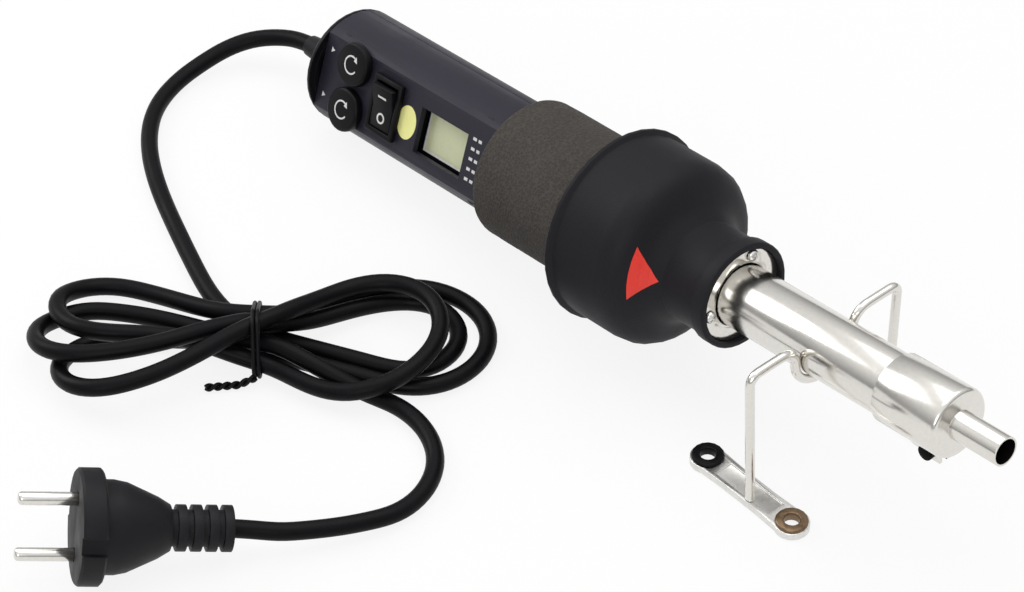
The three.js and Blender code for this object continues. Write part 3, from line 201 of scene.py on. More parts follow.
# Each finish: its colour, how dark its mottle goes, the sizes of its grain and blotches and the depth of its
# relief in millimetres, its range of roughness and, where they aren't plain, its gloss, metal and cells
FINISHES = {
    # Satin moulded ABS: an even charcoal with a violet cast and a fine spark-eroded grain
    "satin_abs": dict(colour="handle", dark=0.8, grain=0.5, blotch=18, bump=0.03,
                      rough=(0.4, 0.54), gloss=0.22),
    # Black moulded nylon of the small fittings: deeper than the handle
    "black_nylon": dict(colour="fittings", dark=0.7, grain=0.4, blotch=9, bump=0.02,
                        rough=(0.34, 0.5), gloss=0.13),
    # Glass-filled nylon of the housing: dull, with a coarse grain
    "filled_nylon": dict(colour="housing", dark=0.78, grain=0.8, blotch=25, bump=0.05,
                         rough=(0.46, 0.62), gloss=0.14),
    # Open-cell rubber foam: little gloss, random mottle, and painted shade in the dense pores, darker than
    # the paler cell walls
    "rubber_foam": dict(colour="foam", dark=0.52, grain=0.9, blotch=14, bump=0.22, rough=(0.85, 1), gloss=0.3,
                        cells=True),
    # Bright nickel plate on drawn steel: a faintly broken sheen and a warm tint
    "nickel_plate": dict(colour="metal", dark=0.9, grain=1.2, blotch=30, bump=0.004,
                         rough=(0.12, 0.22), metallic=1),
    # Zinc-plated pressed steel: paler and more broken than the nickel
    "zinc_plate": dict(colour="zinc", dark=0.84, grain=1.5, blotch=8, bump=0.01,
                       rough=(0.24, 0.4), metallic=1),
    # Blackened steel, inside the nozzle and on the clamp screw
    "scaled_steel": dict(colour="scale", dark=0.5, grain=0.7, blotch=3, bump=0.03,
                         rough=(0.6, 0.8), metallic=1),
    # Steel of the front rings, with a bronze-brown colour that is a painted reflection, worn paler in patches
    "steel_painted_reflection": dict(colour="ring", dark=0.6, grain=0.9, blotch=3, bump=0.02,
                          rough=(0.26, 0.44), metallic=1),
    # Extruded PVC sheath: near black, with a soft gloss and a faint unevenness
    "pvc_sheath": dict(colour="sheath", dark=0.6, grain=1.4, blotch=16, bump=0.03,
                       rough=(0.36, 0.5), gloss=0.1),
    # Moulded PVC of the plug: duller than the sheath
    "moulded_pvc": dict(colour="plug", dark=0.65, grain=0.5, blotch=12, bump=0.03,
                        rough=(0.48, 0.64), gloss=0.22),
    # Unlit liquid crystal under its polariser: pale green-grey with a faint cloud
    "liquid_crystal": dict(colour="display", dark=0.9, grain=0.8, blotch=9, bump=0, rough=(0.14, 0.22)),
    # Coated paper of the oval sticker
    "coated_paper": dict(colour="sticker", dark=0.93, grain=0.6, blotch=4, bump=0.01, rough=(0.4, 0.55)),
    # Screen-printed inks: slightly broken over the grain of the plastic
    "white_ink": dict(colour="marks", dark=0.72, grain=0.5, blotch=1.5, bump=0.01, rough=(0.5, 0.65)),
    "red_ink": dict(colour="warning", dark=0.84, grain=0.6, blotch=5, bump=0.01, rough=(0.4, 0.55)),
    # Green solder mask of the board
    "solder_mask": dict(colour="board", dark=0.7, grain=0.6, blotch=6, bump=0.02, rough=(0.35, 0.5)),
    # Fired steatite of the heater core, and the mica sheet rolled round it
    "fired_steatite": dict(colour="ceramic", dark=0.86, grain=0.4, blotch=5, bump=0.02, rough=(0.7, 0.9)),
    "mica_sheet": dict(colour="mica", dark=0.6, grain=2.5, blotch=9, bump=0.02, rough=(0.3, 0.5)),
}

# The gloss of a plain finish, the ranges of noise that mottle and roughness are taken from, and the
# fineness of the two noises
PLAIN_GLOSS = 0.5
MOTTLE_SPREAD = (0.55, 1.4)
BLOTCH_SPREAD = (0.3, 0.7)
BLOTCH_DETAIL = 3
GRAIN_DETAIL = 2


def spread(tree, value, low, high, to_low=0, to_high=1):
    """A value carried from one range to another."""
    ranges = {"From Min": low, "From Max": high, "To Min": to_low, "To Max": to_high}
    return node(tree, "ShaderNodeMapRange", ranges, {"Value": value}).outputs[0]


def blend(tree, dark, pale, share):
    """Two colours mixed: a Mix node has its colours in inputs 6 and 7 and in output 2."""
    return node(tree, "ShaderNodeMix", {6: dark, 7: pale}, {0: share}, data_type="RGBA").outputs[2]


def finish(name):
    """The material of a finish, with colour, roughness and relief from noise in object space."""
    found = bpy.data.materials.get(name)
    if found:
        return found
    look = FINISHES[name]
    made = bpy.data.materials.new(name)
    made.use_nodes = True
    tree = made.node_tree
    tree.nodes.clear()
    base = palette(look["colour"])
    dark = (*[c * look["dark"] for c in base[:3]], 1)
    place = node(tree, "ShaderNodeTexCoord").outputs["Object"]
    blotch = node(tree, "ShaderNodeTexNoise", {"Scale": 1 / (look["blotch"] * MM), "Detail": BLOTCH_DETAIL},
                  {"Vector": place}).outputs["Fac"]
    if look.get("cells"):
        # The cells' distance sets both the relief and the tone, so the pits of the pores carry painted shade
        grain = node(tree, "ShaderNodeTexVoronoi", {"Scale": 1 / (look["grain"] * MM)},
                     {"Vector": place}).outputs["Distance"]
    else:
        fineness = {"Scale": 1 / (look["grain"] * MM), "Detail": GRAIN_DETAIL}
        grain = node(tree, "ShaderNodeTexNoise", fineness, {"Vector": place}).outputs["Fac"]
    mottle = node(tree, "ShaderNodeMath", {}, {0: blotch, 1: grain}, operation="ADD").outputs[0]
    mixed = blend(tree, dark, base, spread(tree, mottle, *MOTTLE_SPREAD))
    rough = spread(tree, blotch, *BLOTCH_SPREAD, *look["rough"])
    shader = node(tree, "ShaderNodeBsdfPrincipled",
                  {"Metallic": look.get("metallic", 0), "Specular IOR Level": look.get("gloss", PLAIN_GLOSS)},
                  {"Base Color": mixed, "Roughness": rough})
    if look["bump"]:
        depth = {"Strength": 1, "Distance": look["bump"] * MM}
        relief = node(tree, "ShaderNodeBump", depth, {"Height": grain})
        tree.links.new(relief.outputs[0], shader.inputs["Normal"])
    node(tree, "ShaderNodeOutputMaterial", {}, {"Surface": shader.outputs[0]})
    return made


# Meshes: how close corners are when they count as one, in shapes made here and in CAD nodes, and the
# radius below which a ring is a point
SAME_CORNER = 1e-5
SAME_CAD_CORNER = 1e-6
POINT_RADIUS = 1e-6


def mesh_of(bm, name, place):
    """A mesh from bm, moved to its place, with its doubles merged and its faces turned out."""
    bmesh.ops.remove_doubles(bm, verts=bm.verts, dist=SAME_CORNER)
    bmesh.ops.recalc_face_normals(bm, faces=bm.faces)
    made = bpy.data.meshes.new(name)
    bm.to_mesh(made)
    bm.free()
    made.transform(place)
    return made


def turned(outline, sides):
    """A solid of revolution about X, from (station, radius) pairs."""
    bm = bmesh.new()
    rings = []
    for station, radius in outline:
        turns = [2 * math.pi * i / sides for i in range(sides)] if radius > POINT_RADIUS else [0]
        rings.append([bm.verts.new((station, radius * math.cos(a), radius * math.sin(a))) for a in turns])
    for rear, front in zip(rings, rings[1:]):
        for i in range(sides):
            j = i + 1
            corners = [rear[i % len(rear)], rear[j % len(rear)], front[j % len(front)], front[i % len(front)]]
            corners = list(dict.fromkeys(corners))
            if len(corners) > 2:
                bm.faces.new(corners)
    return bm


def prism(shape, low, high):
    """A flat outline of (x, y) points given a thickness along Z."""
    bm = bmesh.new()
    face = bm.faces.new([bm.verts.new((x, y, low)) for x, y in shape])
    raised = bmesh.ops.extrude_face_region(bm, geom=[face])["geom"]
    bmesh.ops.translate(bm, verts=[v for v in raised if isinstance(v, bmesh.types.BMVert)],
                        vec=(0, 0, high - low))
    return bm


def combined(parts):
    """Several bmeshes as one."""
    whole = bmesh.new()
    for part in parts:
        held = bpy.data.meshes.new("part")
        part.to_mesh(held)
        part.free()
        whole.from_mesh(held)
        bpy.data.meshes.remove(held)
    return whole


def smooth_line(points, step):
    """Points at even steps on a smooth curve through the given ones."""
    points = [Vector(p) for p in points]
    ends = [2 * points[0] - points[1], *points, 2 * points[-1] - points[-2]]
    fine = []
    for before, a, b, after in zip(ends, ends[1:], ends[2:], ends[3:]):
        reach = (b - a).length
        lead = (b - before) * (reach / ((a - before).length + reach))
        trail = (after - a) * (reach / ((after - b).length + reach))
        for k in range(CURVE_STEPS):
            t = k / CURVE_STEPS
            fine.append((2 * t ** 3 - 3 * t ** 2 + 1) * a + (t ** 3 - 2 * t ** 2 + t) * lead
                        + (3 * t ** 2 - 2 * t ** 3) * b + (t ** 3 - t ** 2) * trail)
    fine.append(points[-1])
    total = sum((b - a).length for a, b in zip(fine, fine[1:]))
    count = round(total / step)
    even, walked, want = [fine[0]], 0, 1
    for a, b in zip(fine, fine[1:]):
        run = (b - a).length
        while want < count and walked + run >= want * total / count:
            even.append(a.lerp(b, (want * total / count - walked) / run))
            want += 1
        walked += run
    return [*even, fine[-1]]


def swept(line, radius, sides):
    """A tube along a line of points, with a UV map that runs along it."""
    bm = bmesh.new()
    layer = bm.loops.layers.uv.new("along")
    ways = [(b - a).normalized() for a, b in zip(line, line[1:])]
    ways = [ways[0], *[(a + b).normalized() for a, b in zip(ways, ways[1:])], ways[-1]]
    side = ways[0].orthogonal().normalized()
    rings = []
    for at, way in zip(line, ways):
        side = (side - way * side.dot(way)).normalized()
        up = way.cross(side)
        turns = [2 * math.pi * i / sides for i in range(sides)]
        rings.append([bm.verts.new(at + radius * (math.cos(a) * side + math.sin(a) * up)) for a in turns])
    girth = 2 * math.pi * radius
    walked = 0
    for k, (rear, front) in enumerate(zip(rings, rings[1:])):
        run = (line[k + 1] - line[k]).length
        for i in range(sides):
            j = (i + 1) % sides
            face = bm.faces.new((rear[i], rear[j], front[j], front[i]))
            spots = [(walked, i), (walked, i + 1), (walked + run, i + 1), (walked + run, i)]
            for loop, (along, turn) in zip(face.loops, spots):
                loop[layer].uv = (along / girth, turn / sides)
        walked += run
    bm.faces.new(rings[0])
    bm.faces.new(rings[-1])
    return bm


def rounded(mesh, bevel=0, sharp=SHARP):
    """The mesh with its edges rounded and its curved faces smooth."""
    holder = bpy.data.objects.new("holder", mesh)
    bpy.context.scene.collection.objects.link(holder)
    if bevel:
        rounding = holder.modifiers.new("rounding", "BEVEL")
        rounding.width = bevel * MM
        rounding.segments = BEVEL_STEPS
        rounding.angle_limit = math.radians(sharp)
        rounding.use_clamp_overlap = True
    made = bpy.data.meshes.new_from_object(holder.evaluated_get(bpy.context.evaluated_depsgraph_get()))
    bpy.data.objects.remove(holder)
    made.shade_smooth()
    made.set_sharp_from_angle(angle=math.radians(sharp))
    return made


def cut(mesh, tool):
    """The mesh with a tool's shape taken out of it."""
    holder, cutter = (bpy.data.objects.new("holder", data) for data in (mesh, tool))
    for made in (holder, cutter):
        bpy.context.scene.collection.objects.link(made)
    taken = holder.modifiers.new("taken", "BOOLEAN")
    taken.object = cutter
    taken.solver = "EXACT"
    made = bpy.data.meshes.new_from_object(holder.evaluated_get(bpy.context.evaluated_depsgraph_get()))
    for used in (holder, cutter):
        bpy.data.objects.remove(used)
    return made


def piece(name, mesh, material, body, slot=None, *stands_for):
    """A finished piece that rides a body and stands for the CAD nodes it replaces."""
    mesh.materials.clear()
    mesh.materials.append(finish(material))
    made = bpy.data.objects.new(name, mesh)
    bpy.context.scene.collection.objects.link(made)
    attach(made, body)
    if stands_for:
        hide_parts(*stands_for)
    return made


# Faces that turn by less than this are one flat face
FLAT_LIMIT = math.radians(0.5)


def dressed(cad_node, material, body, slot, bevel=None, flats=True):
    """A copy of a CAD node with merged corners, rounded edges and smooth curves."""
    bm = bmesh.new()
    bm.from_mesh(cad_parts[cad_node].data)
    bmesh.ops.remove_doubles(bm, verts=bm.verts, dist=SAME_CAD_CORNER)
    if flats:
        bmesh.ops.dissolve_limit(bm, angle_limit=FLAT_LIMIT, verts=bm.verts, edges=bm.edges)
    mesh = bpy.data.meshes.new(cad_node)
    bm.to_mesh(mesh)
    bm.free()
    width = size("edge") if bevel is None else bevel
    return piece(f"{cad_node}_finish", rounded(mesh, width), material, body, slot, cad_node)


# Geometry Nodes: copies of one shape set out evenly on a circle about X


def ring_of(name, shape, count, radius, roll, place, material):
    """A plain mesh of copies of a shape, spaced round a circle, each turned to face outwards."""
    tree = bpy.data.node_groups.new(name, "GeometryNodeTree")
    sockets = {"Geometry": "Geometry", "Shape": "Object", "Count": "Int", "Radius": "Float", "Roll": "Float"}
    for label, kind in sockets.items():
        tree.interface.new_socket(label, in_out="INPUT", socket_type=f"NodeSocket{kind}")
    tree.interface.new_socket("Geometry", in_out="OUTPUT", socket_type="NodeSocketGeometry")
    given = node(tree, "NodeGroupInput").outputs
    circle = node(tree, "GeometryNodeMeshCircle", {}, {"Vertices": given["Count"], "Radius": given["Radius"]})
    upright = node(tree, "GeometryNodeTransform", {"Rotation": (0, math.pi / 2, 0)},
                   {"Geometry": circle.outputs[0]})
    step = node(tree, "ShaderNodeMath", {0: -2 * math.pi}, {1: given["Count"]}, operation="DIVIDE")
    index = node(tree, "GeometryNodeInputIndex").outputs[0]
    turn = node(tree, "ShaderNodeMath", {}, {0: index, 1: step.outputs[0]}, operation="MULTIPLY")
    about = node(tree, "ShaderNodeCombineXYZ", {}, {"X": turn.outputs[0]})
    source = node(tree, "GeometryNodeObjectInfo", {}, {"Object": given["Shape"]})
    copies = node(tree, "GeometryNodeInstanceOnPoints", {},
                  {"Points": upright.outputs[0], "Instance": source.outputs["Geometry"],
                   "Rotation": about.outputs[0]})
    real = node(tree, "GeometryNodeRealizeInstances", {}, {"Geometry": copies.outputs[0]})
    rolled = node(tree, "ShaderNodeCombineXYZ", {}, {"X": given["Roll"]})
    spun = node(tree, "GeometryNodeTransform", {},
                {"Geometry": real.outputs[0], "Rotation": rolled.outputs[0]})
    coated = node(tree, "GeometryNodeSetMaterial", {"Material": finish(material)},
                  {"Geometry": spun.outputs[0]})
    node(tree, "NodeGroupOutput", {}, {0: coated.outputs[0]})

    pattern = bpy.data.objects.new(f"{name}_shape", mesh_of(shape, f"{name}_shape", Matrix()))
    holder = bpy.data.objects.new(f"{name}_holder", bpy.data.meshes.new(name))
    for made in (pattern, holder):
        bpy.context.scene.collection.objects.link(made)
    modifier = holder.modifiers.new("copies", "NODES")
    modifier.node_group = tree
    wanted = {"Shape": pattern, "Count": count, "Radius": radius, "Roll": roll}
    for item in tree.interface.items_tree:
        if item.in_out == "INPUT" and item.name in wanted:
            modifier[item.identifier] = wanted[item.name]
    mesh = bpy.data.meshes.new_from_object(holder.evaluated_get(bpy.context.evaluated_depsgraph_get()))
    if not mesh.vertices:
        raise RuntimeError(f"{name} came out empty")
    holder.modifiers.clear()
    for made in (pattern, holder):
        bpy.data.objects.remove(made)
    mesh.transform(place)
    return mesh


# The lead's own line: the listed points settle in rounds. Lengths are millimetres, counts are points of
# the line, and the rest are shares of a fault that one round puts right
STRAND_STEP = 4
HELD_AT_EXIT = 15
HELD_AT_PLUG = 12
LEAD_FLOOR = 3.25
SAG = 0.02
SPACING_PASSES = 2
SPACING_SHARE = 0.25

# The waist: how far along and across the tie draws strands in, how lifted ones rise, and what it holds
WAIST_REACH = 20
WAIST_WIDTH = 34
WAIST_DRAW = 0.45
WAIST_LIFT = 0.25
WAIST_CORE = 6
WAIST_INSIDE = 30
WAIST_HELD = 9

# Stiffness: the span of each wave, in points, and the share of it that goes
STIFFNESS = ((1, 1), (3, 0.05), (5, 0.05))

# Least bends: in the hank's folds, and in the runs next to the exit and the plug
FOLD_BEND = 16.5
FREE_BEND = 24.5
EXIT_RUN = 190
PLUG_RUN = 150
BEND_SPAN = 4
BEND_PUSH = 0.2
BEND_EASE = 0.02
MOST_EASE = 4

# Strands: the room between them, the points that count as one strand, and how often neighbours are sought
STRAND_GAP = 1
SAME_STRAND = 6
PART_SHARE = 0.3
SEEK_EVERY = 25

# Stages: rounds, pull towards the photograph's place, hold of the tie, and passes that part the strands
SETTLING = ((900, 0.04, 0.15, 1), (1100, 0.03, 0.06, 1), (1000, 0.02, 0.02, 3))

# The drawn line: the steps that it is taken at, and the passes that round it off
ROUTE_STEP = 7.6
TUBE_STEP = 2.5
ROUNDING_PASSES = 4


def lengths(ways):
    """The length of each row."""
    return np.linalg.norm(ways, axis=1)[:, None]


def drawn_waist(line, free):
    """Where each strand should lie once the tie has drawn the waist in, and which points the tie holds."""
    aim = line.copy()
    along, across = (np.array(HANK.to_3x3().col[i].xy.normalized()) for i in (0, 1))
    from_tie = line[:, :2] - np.array(HANK.translation.xy) / MM
    at, side = from_tie @ along, from_tie @ across
    middle = np.median(side[(abs(at) < WAIST_CORE) & (abs(side) < WAIST_INSIDE)])
    drawn = np.exp(-(at / WAIST_REACH) ** 2) * (abs(side) < WAIST_WIDTH)
    move = -WAIST_DRAW * drawn * (side - middle)
    aim[:, :2] += across * (move[:, None] * free)
    aim[:, 2] += WAIST_LIFT * drawn * (line[:, 2] - LEAD_FLOOR) * free[:, 0]
    return aim, (abs(at) < WAIST_HELD) & (abs(side + move) < WAIST_INSIDE)


def even_spacing(line, free):
    """Draws points along the lead towards an even spacing."""
    for _ in range(SPACING_PASSES):
        link = np.diff(line, axis=0)
        run = lengths(link)
        slack = link * (SPACING_SHARE * (run - run.mean()) / run)
        line[:-1] += slack * free[:-1]
        line[1:] -= slack * free[1:]


def stiffen(line, free):
    """Takes out kinks and waves, short ones first."""
    # The weights 1, 4, 6, 4 and 1 add up to 16
    for k, share in STIFFNESS:
        bow = np.zeros_like(line)
        bow[2 * k:-2 * k] = (4 * line[k:-3 * k] + 4 * line[3 * k:-k] - 6 * line[2 * k:-2 * k]
                             - line[:-4 * k] - line[4 * k:]) / 16
        line += share * bow * free


def open_bends(line, free, chord):
    """Opens bends where the lead is folded tighter than it allows."""
    ends, middle = 2 * BEND_SPAN, slice(BEND_SPAN, -BEND_SPAN)
    reach = line[ends:] - line[:-ends]
    lack = np.maximum(chord[middle] - lengths(reach), 0)
    push = reach * (BEND_PUSH * lack / lengths(reach))
    ease = ((line[ends:] + line[:-ends]) / 2 - line[middle]) * (BEND_EASE * np.minimum(lack, MOST_EASE))
    line[ends:] += push * free[ends:]
    line[:-ends] -= push * free[:-ends]
    line[middle] += ease * free[middle]


def part_strands(line, free, pairs, gap):
    """Pushes strands off each other where they are closer than the gap."""
    apart = line[pairs[0]] - line[pairs[1]]
    away = lengths(apart)
    hit = away[:, 0] < gap
    one, other = pairs[0][hit], pairs[1][hit]
    shove = apart[hit] * (PART_SHARE * (gap - away[hit]) / away[hit])
    np.add.at(line, one, shove * free[one])
    np.add.at(line, other, -shove * free[other])


@functools.cache
def settled_route(diameter):
    """The listed points, settled so that the lead lies on itself and on the floor.

    Each point is drawn back only across the line of sight, so it keeps near its place in the photograph.
    """
    line = np.array(smooth_line(LEAD_POINTS, STRAND_STEP), float)
    count = len(line)
    free = np.ones((count, 1))
    free[:HELD_AT_EXIT] = 0
    free[-HELD_AT_PLUG:] = 0
    sight = line - np.array(CAMERA_PLACE) / MM
    sight /= lengths(sight)
    aim, waist = drawn_waist(line, free)
    run = lengths(np.diff(line, axis=0)).sum()
    step = run / (count - 1)
    walked = step * np.arange(1, count + 1)[:, None]
    bend = np.where((walked < EXIT_RUN) | (walked > run - PLUG_RUN), FREE_BEND, FOLD_BEND)
    chord = 2 * bend * np.sin(np.minimum(BEND_SPAN * step / bend, math.pi / 2))
    gap = diameter + STRAND_GAP
    every = np.array(np.triu_indices(count, SAME_STRAND))
    for rounds, pull, hold, passes in SETTLING:
        for turn in range(rounds):
            if turn % SEEK_EVERY == 0:
                near = lengths(line[every[0]] - line[every[1]])[:, 0] < 2 * gap
                pairs = every[:, near]
            off = aim - line
            line += pull * (off - sight * (off * sight).sum(axis=1)[:, None]) * free
            line[waist] += hold * (aim - line)[waist]
            line[:, 2] -= SAG * free[:, 0]
            even_spacing(line, free)
            stiffen(line, free)
            open_bends(line, free, chord)
            for _ in range(passes):
                part_strands(line, free, pairs, gap)
            line[:, 2] = np.where(free[:, 0] > 0, np.maximum(line[:, 2], LEAD_FLOOR), line[:, 2])
    return [Vector(p) for p in line]


def lead_line():
    """The whole lead from the strain relief to the plug, in millimetres of the frame."""
    line = smooth_line(smooth_line(settled_route(size("cord")), ROUTE_STEP), TUBE_STEP)
    for _ in range(ROUNDING_PASSES):
        line = [line[0], *[(a + 2 * b + c) / 4 for a, b, c in zip(line, line[1:], line[2:])], line[-1]]
    return line


# Soft boxes: name, place in metres, watts and width in metres
SOFT_BOXES = (
    ("overhead", (-0.1, 0.3, 1.6), 13, 1.6),
    ("left", (-1.3, -0.5, 0.9), 9, 0.9),
    ("right", (0.9, -1.3, 0.8), 5, 0.8),
)

# Rooms round the object: tone below, tone above, strength and the rays that see it
ROOMS = (
    (0.3, 0.9, 0.6, None),
    (0.28, 1, 1, "Is Glossy Ray"),
    (0.7, 1, 1, "Is Transmission Ray"),
    (1, 1, 1, "Is Camera Ray"),
)
CEILING = 0.7

# Paper floor: half its width and its drop in metres, its grain, its darker tone and the share that glows
FLOOR_REACH = 6
FLOOR_DROP = 0.0003
PAPER_GRAIN = 400
PAPER_SHADE = (0.86, 0.86, 0.86, 1)
PAPER_GLOW = 0.86
WHITE = (1, 1, 1, 1)


def place_camera(scene):
    """The photograph's camera."""
    lens = bpy.data.cameras.new("camera")
    lens.sensor_width = SENSOR_WIDTH
    lens.lens = FOCAL_LENGTH
    camera = bpy.data.objects.new("camera", lens)
    camera.location = CAMERA_PLACE
    camera.rotation_euler = (CAMERA_AIM - CAMERA_PLACE).to_track_quat("-Z", "Y").to_euler()
    scene.collection.objects.link(camera)
    scene.camera = camera


def hang_soft_boxes(scene):
    """A wide soft box overhead, one at the far left and one at the near right."""
    for name, at, power, width in SOFT_BOXES:
        lamp = bpy.data.lights.new(name, "AREA")
        lamp.energy = power
        lamp.size = width
        holder = bpy.data.objects.new(name, lamp)
        holder.location = at
        holder.rotation_euler = (-Vector(at)).to_track_quat("-Z", "Y").to_euler()
        scene.collection.objects.link(holder)


def light_rooms(scene):
    """A world that is white to the camera, a bright tent to metal and glass, and a dim room to the rest."""
    world = bpy.data.worlds.new("studio")
    scene.world = world
    world.use_nodes = True
    tree = world.node_tree
    tree.nodes.clear()
    direction = node(tree, "ShaderNodeTexCoord").outputs["Generated"]
    height = node(tree, "ShaderNodeSeparateXYZ", {}, {0: direction}).outputs["Z"]
    path = node(tree, "ShaderNodeLightPath").outputs
    shown = None
    for low, high, strength, seen in ROOMS:
        ramp = node(tree, "ShaderNodeValToRGB", {}, {"Fac": height})
        below, above = ramp.color_ramp.elements
        below.color = (low, low, low, 1)
        above.color = (high, high, high, 1)
        above.position = CEILING
        room = node(tree, "ShaderNodeBackground", {"Strength": strength}, {"Color": ramp.outputs[0]})
        if seen:
            room = node(tree, "ShaderNodeMixShader", {}, {0: path[seen], 1: shown, 2: room.outputs[0]})
        shown = room.outputs[0]
    node(tree, "ShaderNodeOutputWorld", {}, {"Surface": shown})


def seamless_paper():
    """Pale paper that reads as white and keeps a soft shadow."""
    paper = bpy.data.materials.new("seamless_paper")
    paper.use_nodes = True
    tree = paper.node_tree
    tree.nodes.clear()
    place = node(tree, "ShaderNodeTexCoord").outputs["Object"]
    grain = node(tree, "ShaderNodeTexNoise", {"Scale": PAPER_GRAIN}, {"Vector": place}).outputs["Fac"]
    tone = blend(tree, PAPER_SHADE, palette("floor"), grain)
    matt = node(tree, "ShaderNodeBsdfDiffuse", {}, {"Color": tone})
    glow = node(tree, "ShaderNodeEmission", {"Color": WHITE, "Strength": 1})
    path = node(tree, "ShaderNodeLightPath").outputs
    clear = path["Is Camera Ray"]
    for ray in ("Is Glossy Ray", "Is Transmission Ray"):
        clear = node(tree, "ShaderNodeMath", {}, {0: clear, 1: path[ray]}, operation="MAXIMUM").outputs[0]
    share = node(tree, "ShaderNodeMath", {1: PAPER_GLOW}, {0: clear}, operation="MULTIPLY").outputs[0]
    both = node(tree, "ShaderNodeMixShader", {}, {0: share, 1: matt.outputs[0], 2: glow.outputs[0]})
    node(tree, "ShaderNodeOutputMaterial", {}, {"Surface": both.outputs[0]})
    return paper


def lay_floor(scene):
    """The paper floor, just under what stands on it."""
    bm = bmesh.new()
    bmesh.ops.create_grid(bm, x_segments=2, y_segments=2, size=FLOOR_REACH)
    bmesh.ops.translate(bm, verts=bm.verts, vec=(0, 0, -FLOOR_DROP))
    ground = bpy.data.meshes.new("floor")
    bm.to_mesh(ground)
    bm.free()
    ground.materials.append(seamless_paper())
    floor = bpy.data.objects.new("floor", ground)
    scene.collection.objects.link(floor)


class HotAirStage(bpy.types.Operator):
    """Camera, floor and soft studio light"""
    bl_idname = "hot_air.stage"
    bl_label = "Stage"

    def execute(self, context):
        scene = context.scene
        scene.view_settings.view_transform = "Standard"
        place_camera(scene)
        hang_soft_boxes(scene)
        light_rooms(scene)
        lay_floor(scene)
        return {"FINISHED"}


# The sides of the lead's tube
LEAD_SIDES = 20


class HotAirLead(bpy.types.Operator):
    """Mains lead from the strain relief through the hank to the plug"""
    bl_idname = "hot_air.lead"
    bl_label = "Lead"

    def execute(self, context):
        line = lead_line()
        diameter = size("cord")
        tube = mesh_of(swept(line, diameter / 2, LEAD_SIDES), "lead", MILLIMETRES)
        lead = piece("mains_lead", rounded(tube, sharp=TUBE_SHARP), "pvc_sheath", "handle", "cord_rubber",
                     "cord_lead", "cord_hank", "cord_tail")
        return {"FINISHED"}


# Tie: the slice of the hank that it goes round, its turns, and its twisted ends
TIE_SLICE = 4
TIE_WIDTH = 24
TIE_TURNS = 2
TIE_PITCH = 1.6
TIE_STEP = 1.2
TIE_SIDES = 10
TIE_FLOOR = 0.1
STRAND_SPOTS = 16
TWIST_LENGTH = 17
TWIST_PITCH = 6
TWIST_STEPS = 40
TWIST_SIDES = 8
TWIST_FALL = 0.5
TWIST_DRIFT = 0.12
LOW_SHARE = 0.3


def round_waist(wire):
    """A closed line in the hank's middle plane, round all the strands there and clear of them by the wire."""
    back = HANK.inverted() @ MILLIMETRES
    strands = [back @ p for p in lead_line()]
    near = [p for p in strands if abs(p.x) < TIE_SLICE and abs(p.y) < TIE_WIDTH]
    reach = size("cord") / 2 + wire
    turns = [2 * math.pi * i / STRAND_SPOTS for i in range(STRAND_SPOTS)]
    spots = [Vector((p.y + reach * math.cos(a), p.z + reach * math.sin(a))) for p in near for a in turns]
    outline = [spots[i] for i in geometry.convex_hull_2d(spots)]
    outline = [p for p in outline if p.y > 0]
    return [Vector((0, p.x, max(p.y, wire + TIE_FLOOR))) for p in outline]


def twisted_end(start, wire, way):
    """One of the two ends, which fall from the waist to the floor and wind round each other."""
    line = []
    for k in range(TWIST_STEPS + 1):
        along = TWIST_LENGTH * k / TWIST_STEPS
        turn = way + 2 * math.pi * along / TWIST_PITCH
        side = start.y - wire - TWIST_DRIFT * along
        rest = max(start.z - TWIST_FALL * along, 2 * wire)
        line.append(Vector((-along, side + wire * math.cos(turn), rest + wire * math.sin(turn))))
    return line


class HotAirTie(bpy.types.Operator):
    """Coated wire wound round the hank's waist, with its ends twisted together"""
    bl_idname = "hot_air.tie"
    bl_label = "Tie"

    def execute(self, context):
        wire = size("tie") / 2
        loop = round_waist(wire)
        round_once = smooth_line([*loop, loop[0]], TIE_STEP)
        wound = []
        for turn in range(TIE_TURNS):
            wound += [p + Vector((TIE_PITCH * (turn - 1 + k / len(round_once)), 0, 0))
                      for k, p in enumerate(round_once[:-1])]
        start = min(loop, key=lambda p: p.y + LOW_SHARE * p.z)
        ends = [swept(twisted_end(start, wire, way), wire, TWIST_SIDES) for way in (0, math.pi)]
        band = mesh_of(combined([swept(wound, wire, TIE_SIDES), *ends]), "tie", HANK)
        piece("tie_wire", rounded(band, sharp=TUBE_SHARP), "black_nylon", "handle", "tie_plastic", "cord_tie")
        return {"FINISHED"}


class HotAirHandle(bpy.types.Operator):
    """Handle shells and tail cap"""
    bl_idname = "hot_air.handle"
    bl_label = "Handle"

    def execute(self, context):
        for shell in ("handle_panel_shell", "handle_back_shell"):
            dressed(shell, "satin_abs", "handle", "charcoal_plastic", bevel=0.2, flats=False)
        dressed("tail_cap", "black_nylon", "handle", "black_plastic")
        return {"FINISHED"}


# The panel, in millimetres along the tool, across the flat and out of it
FLAT = 16.3
KNOB_STATION = 20.8
KNOB_SIDE = 8.5
KNOB_TOP = 19.8
ROCKER_STATION = 39.8
ROCKER_PIVOT = 17.6
ROCKER_TILT = math.radians(10)
BUTTON_REACH = 8
BUTTON_TOP = 1.5
DISPLAY_PLACE = (69.15, -1.3, 11.8)
STICKER_PLACE = (50.9, -1.2, FLAT)

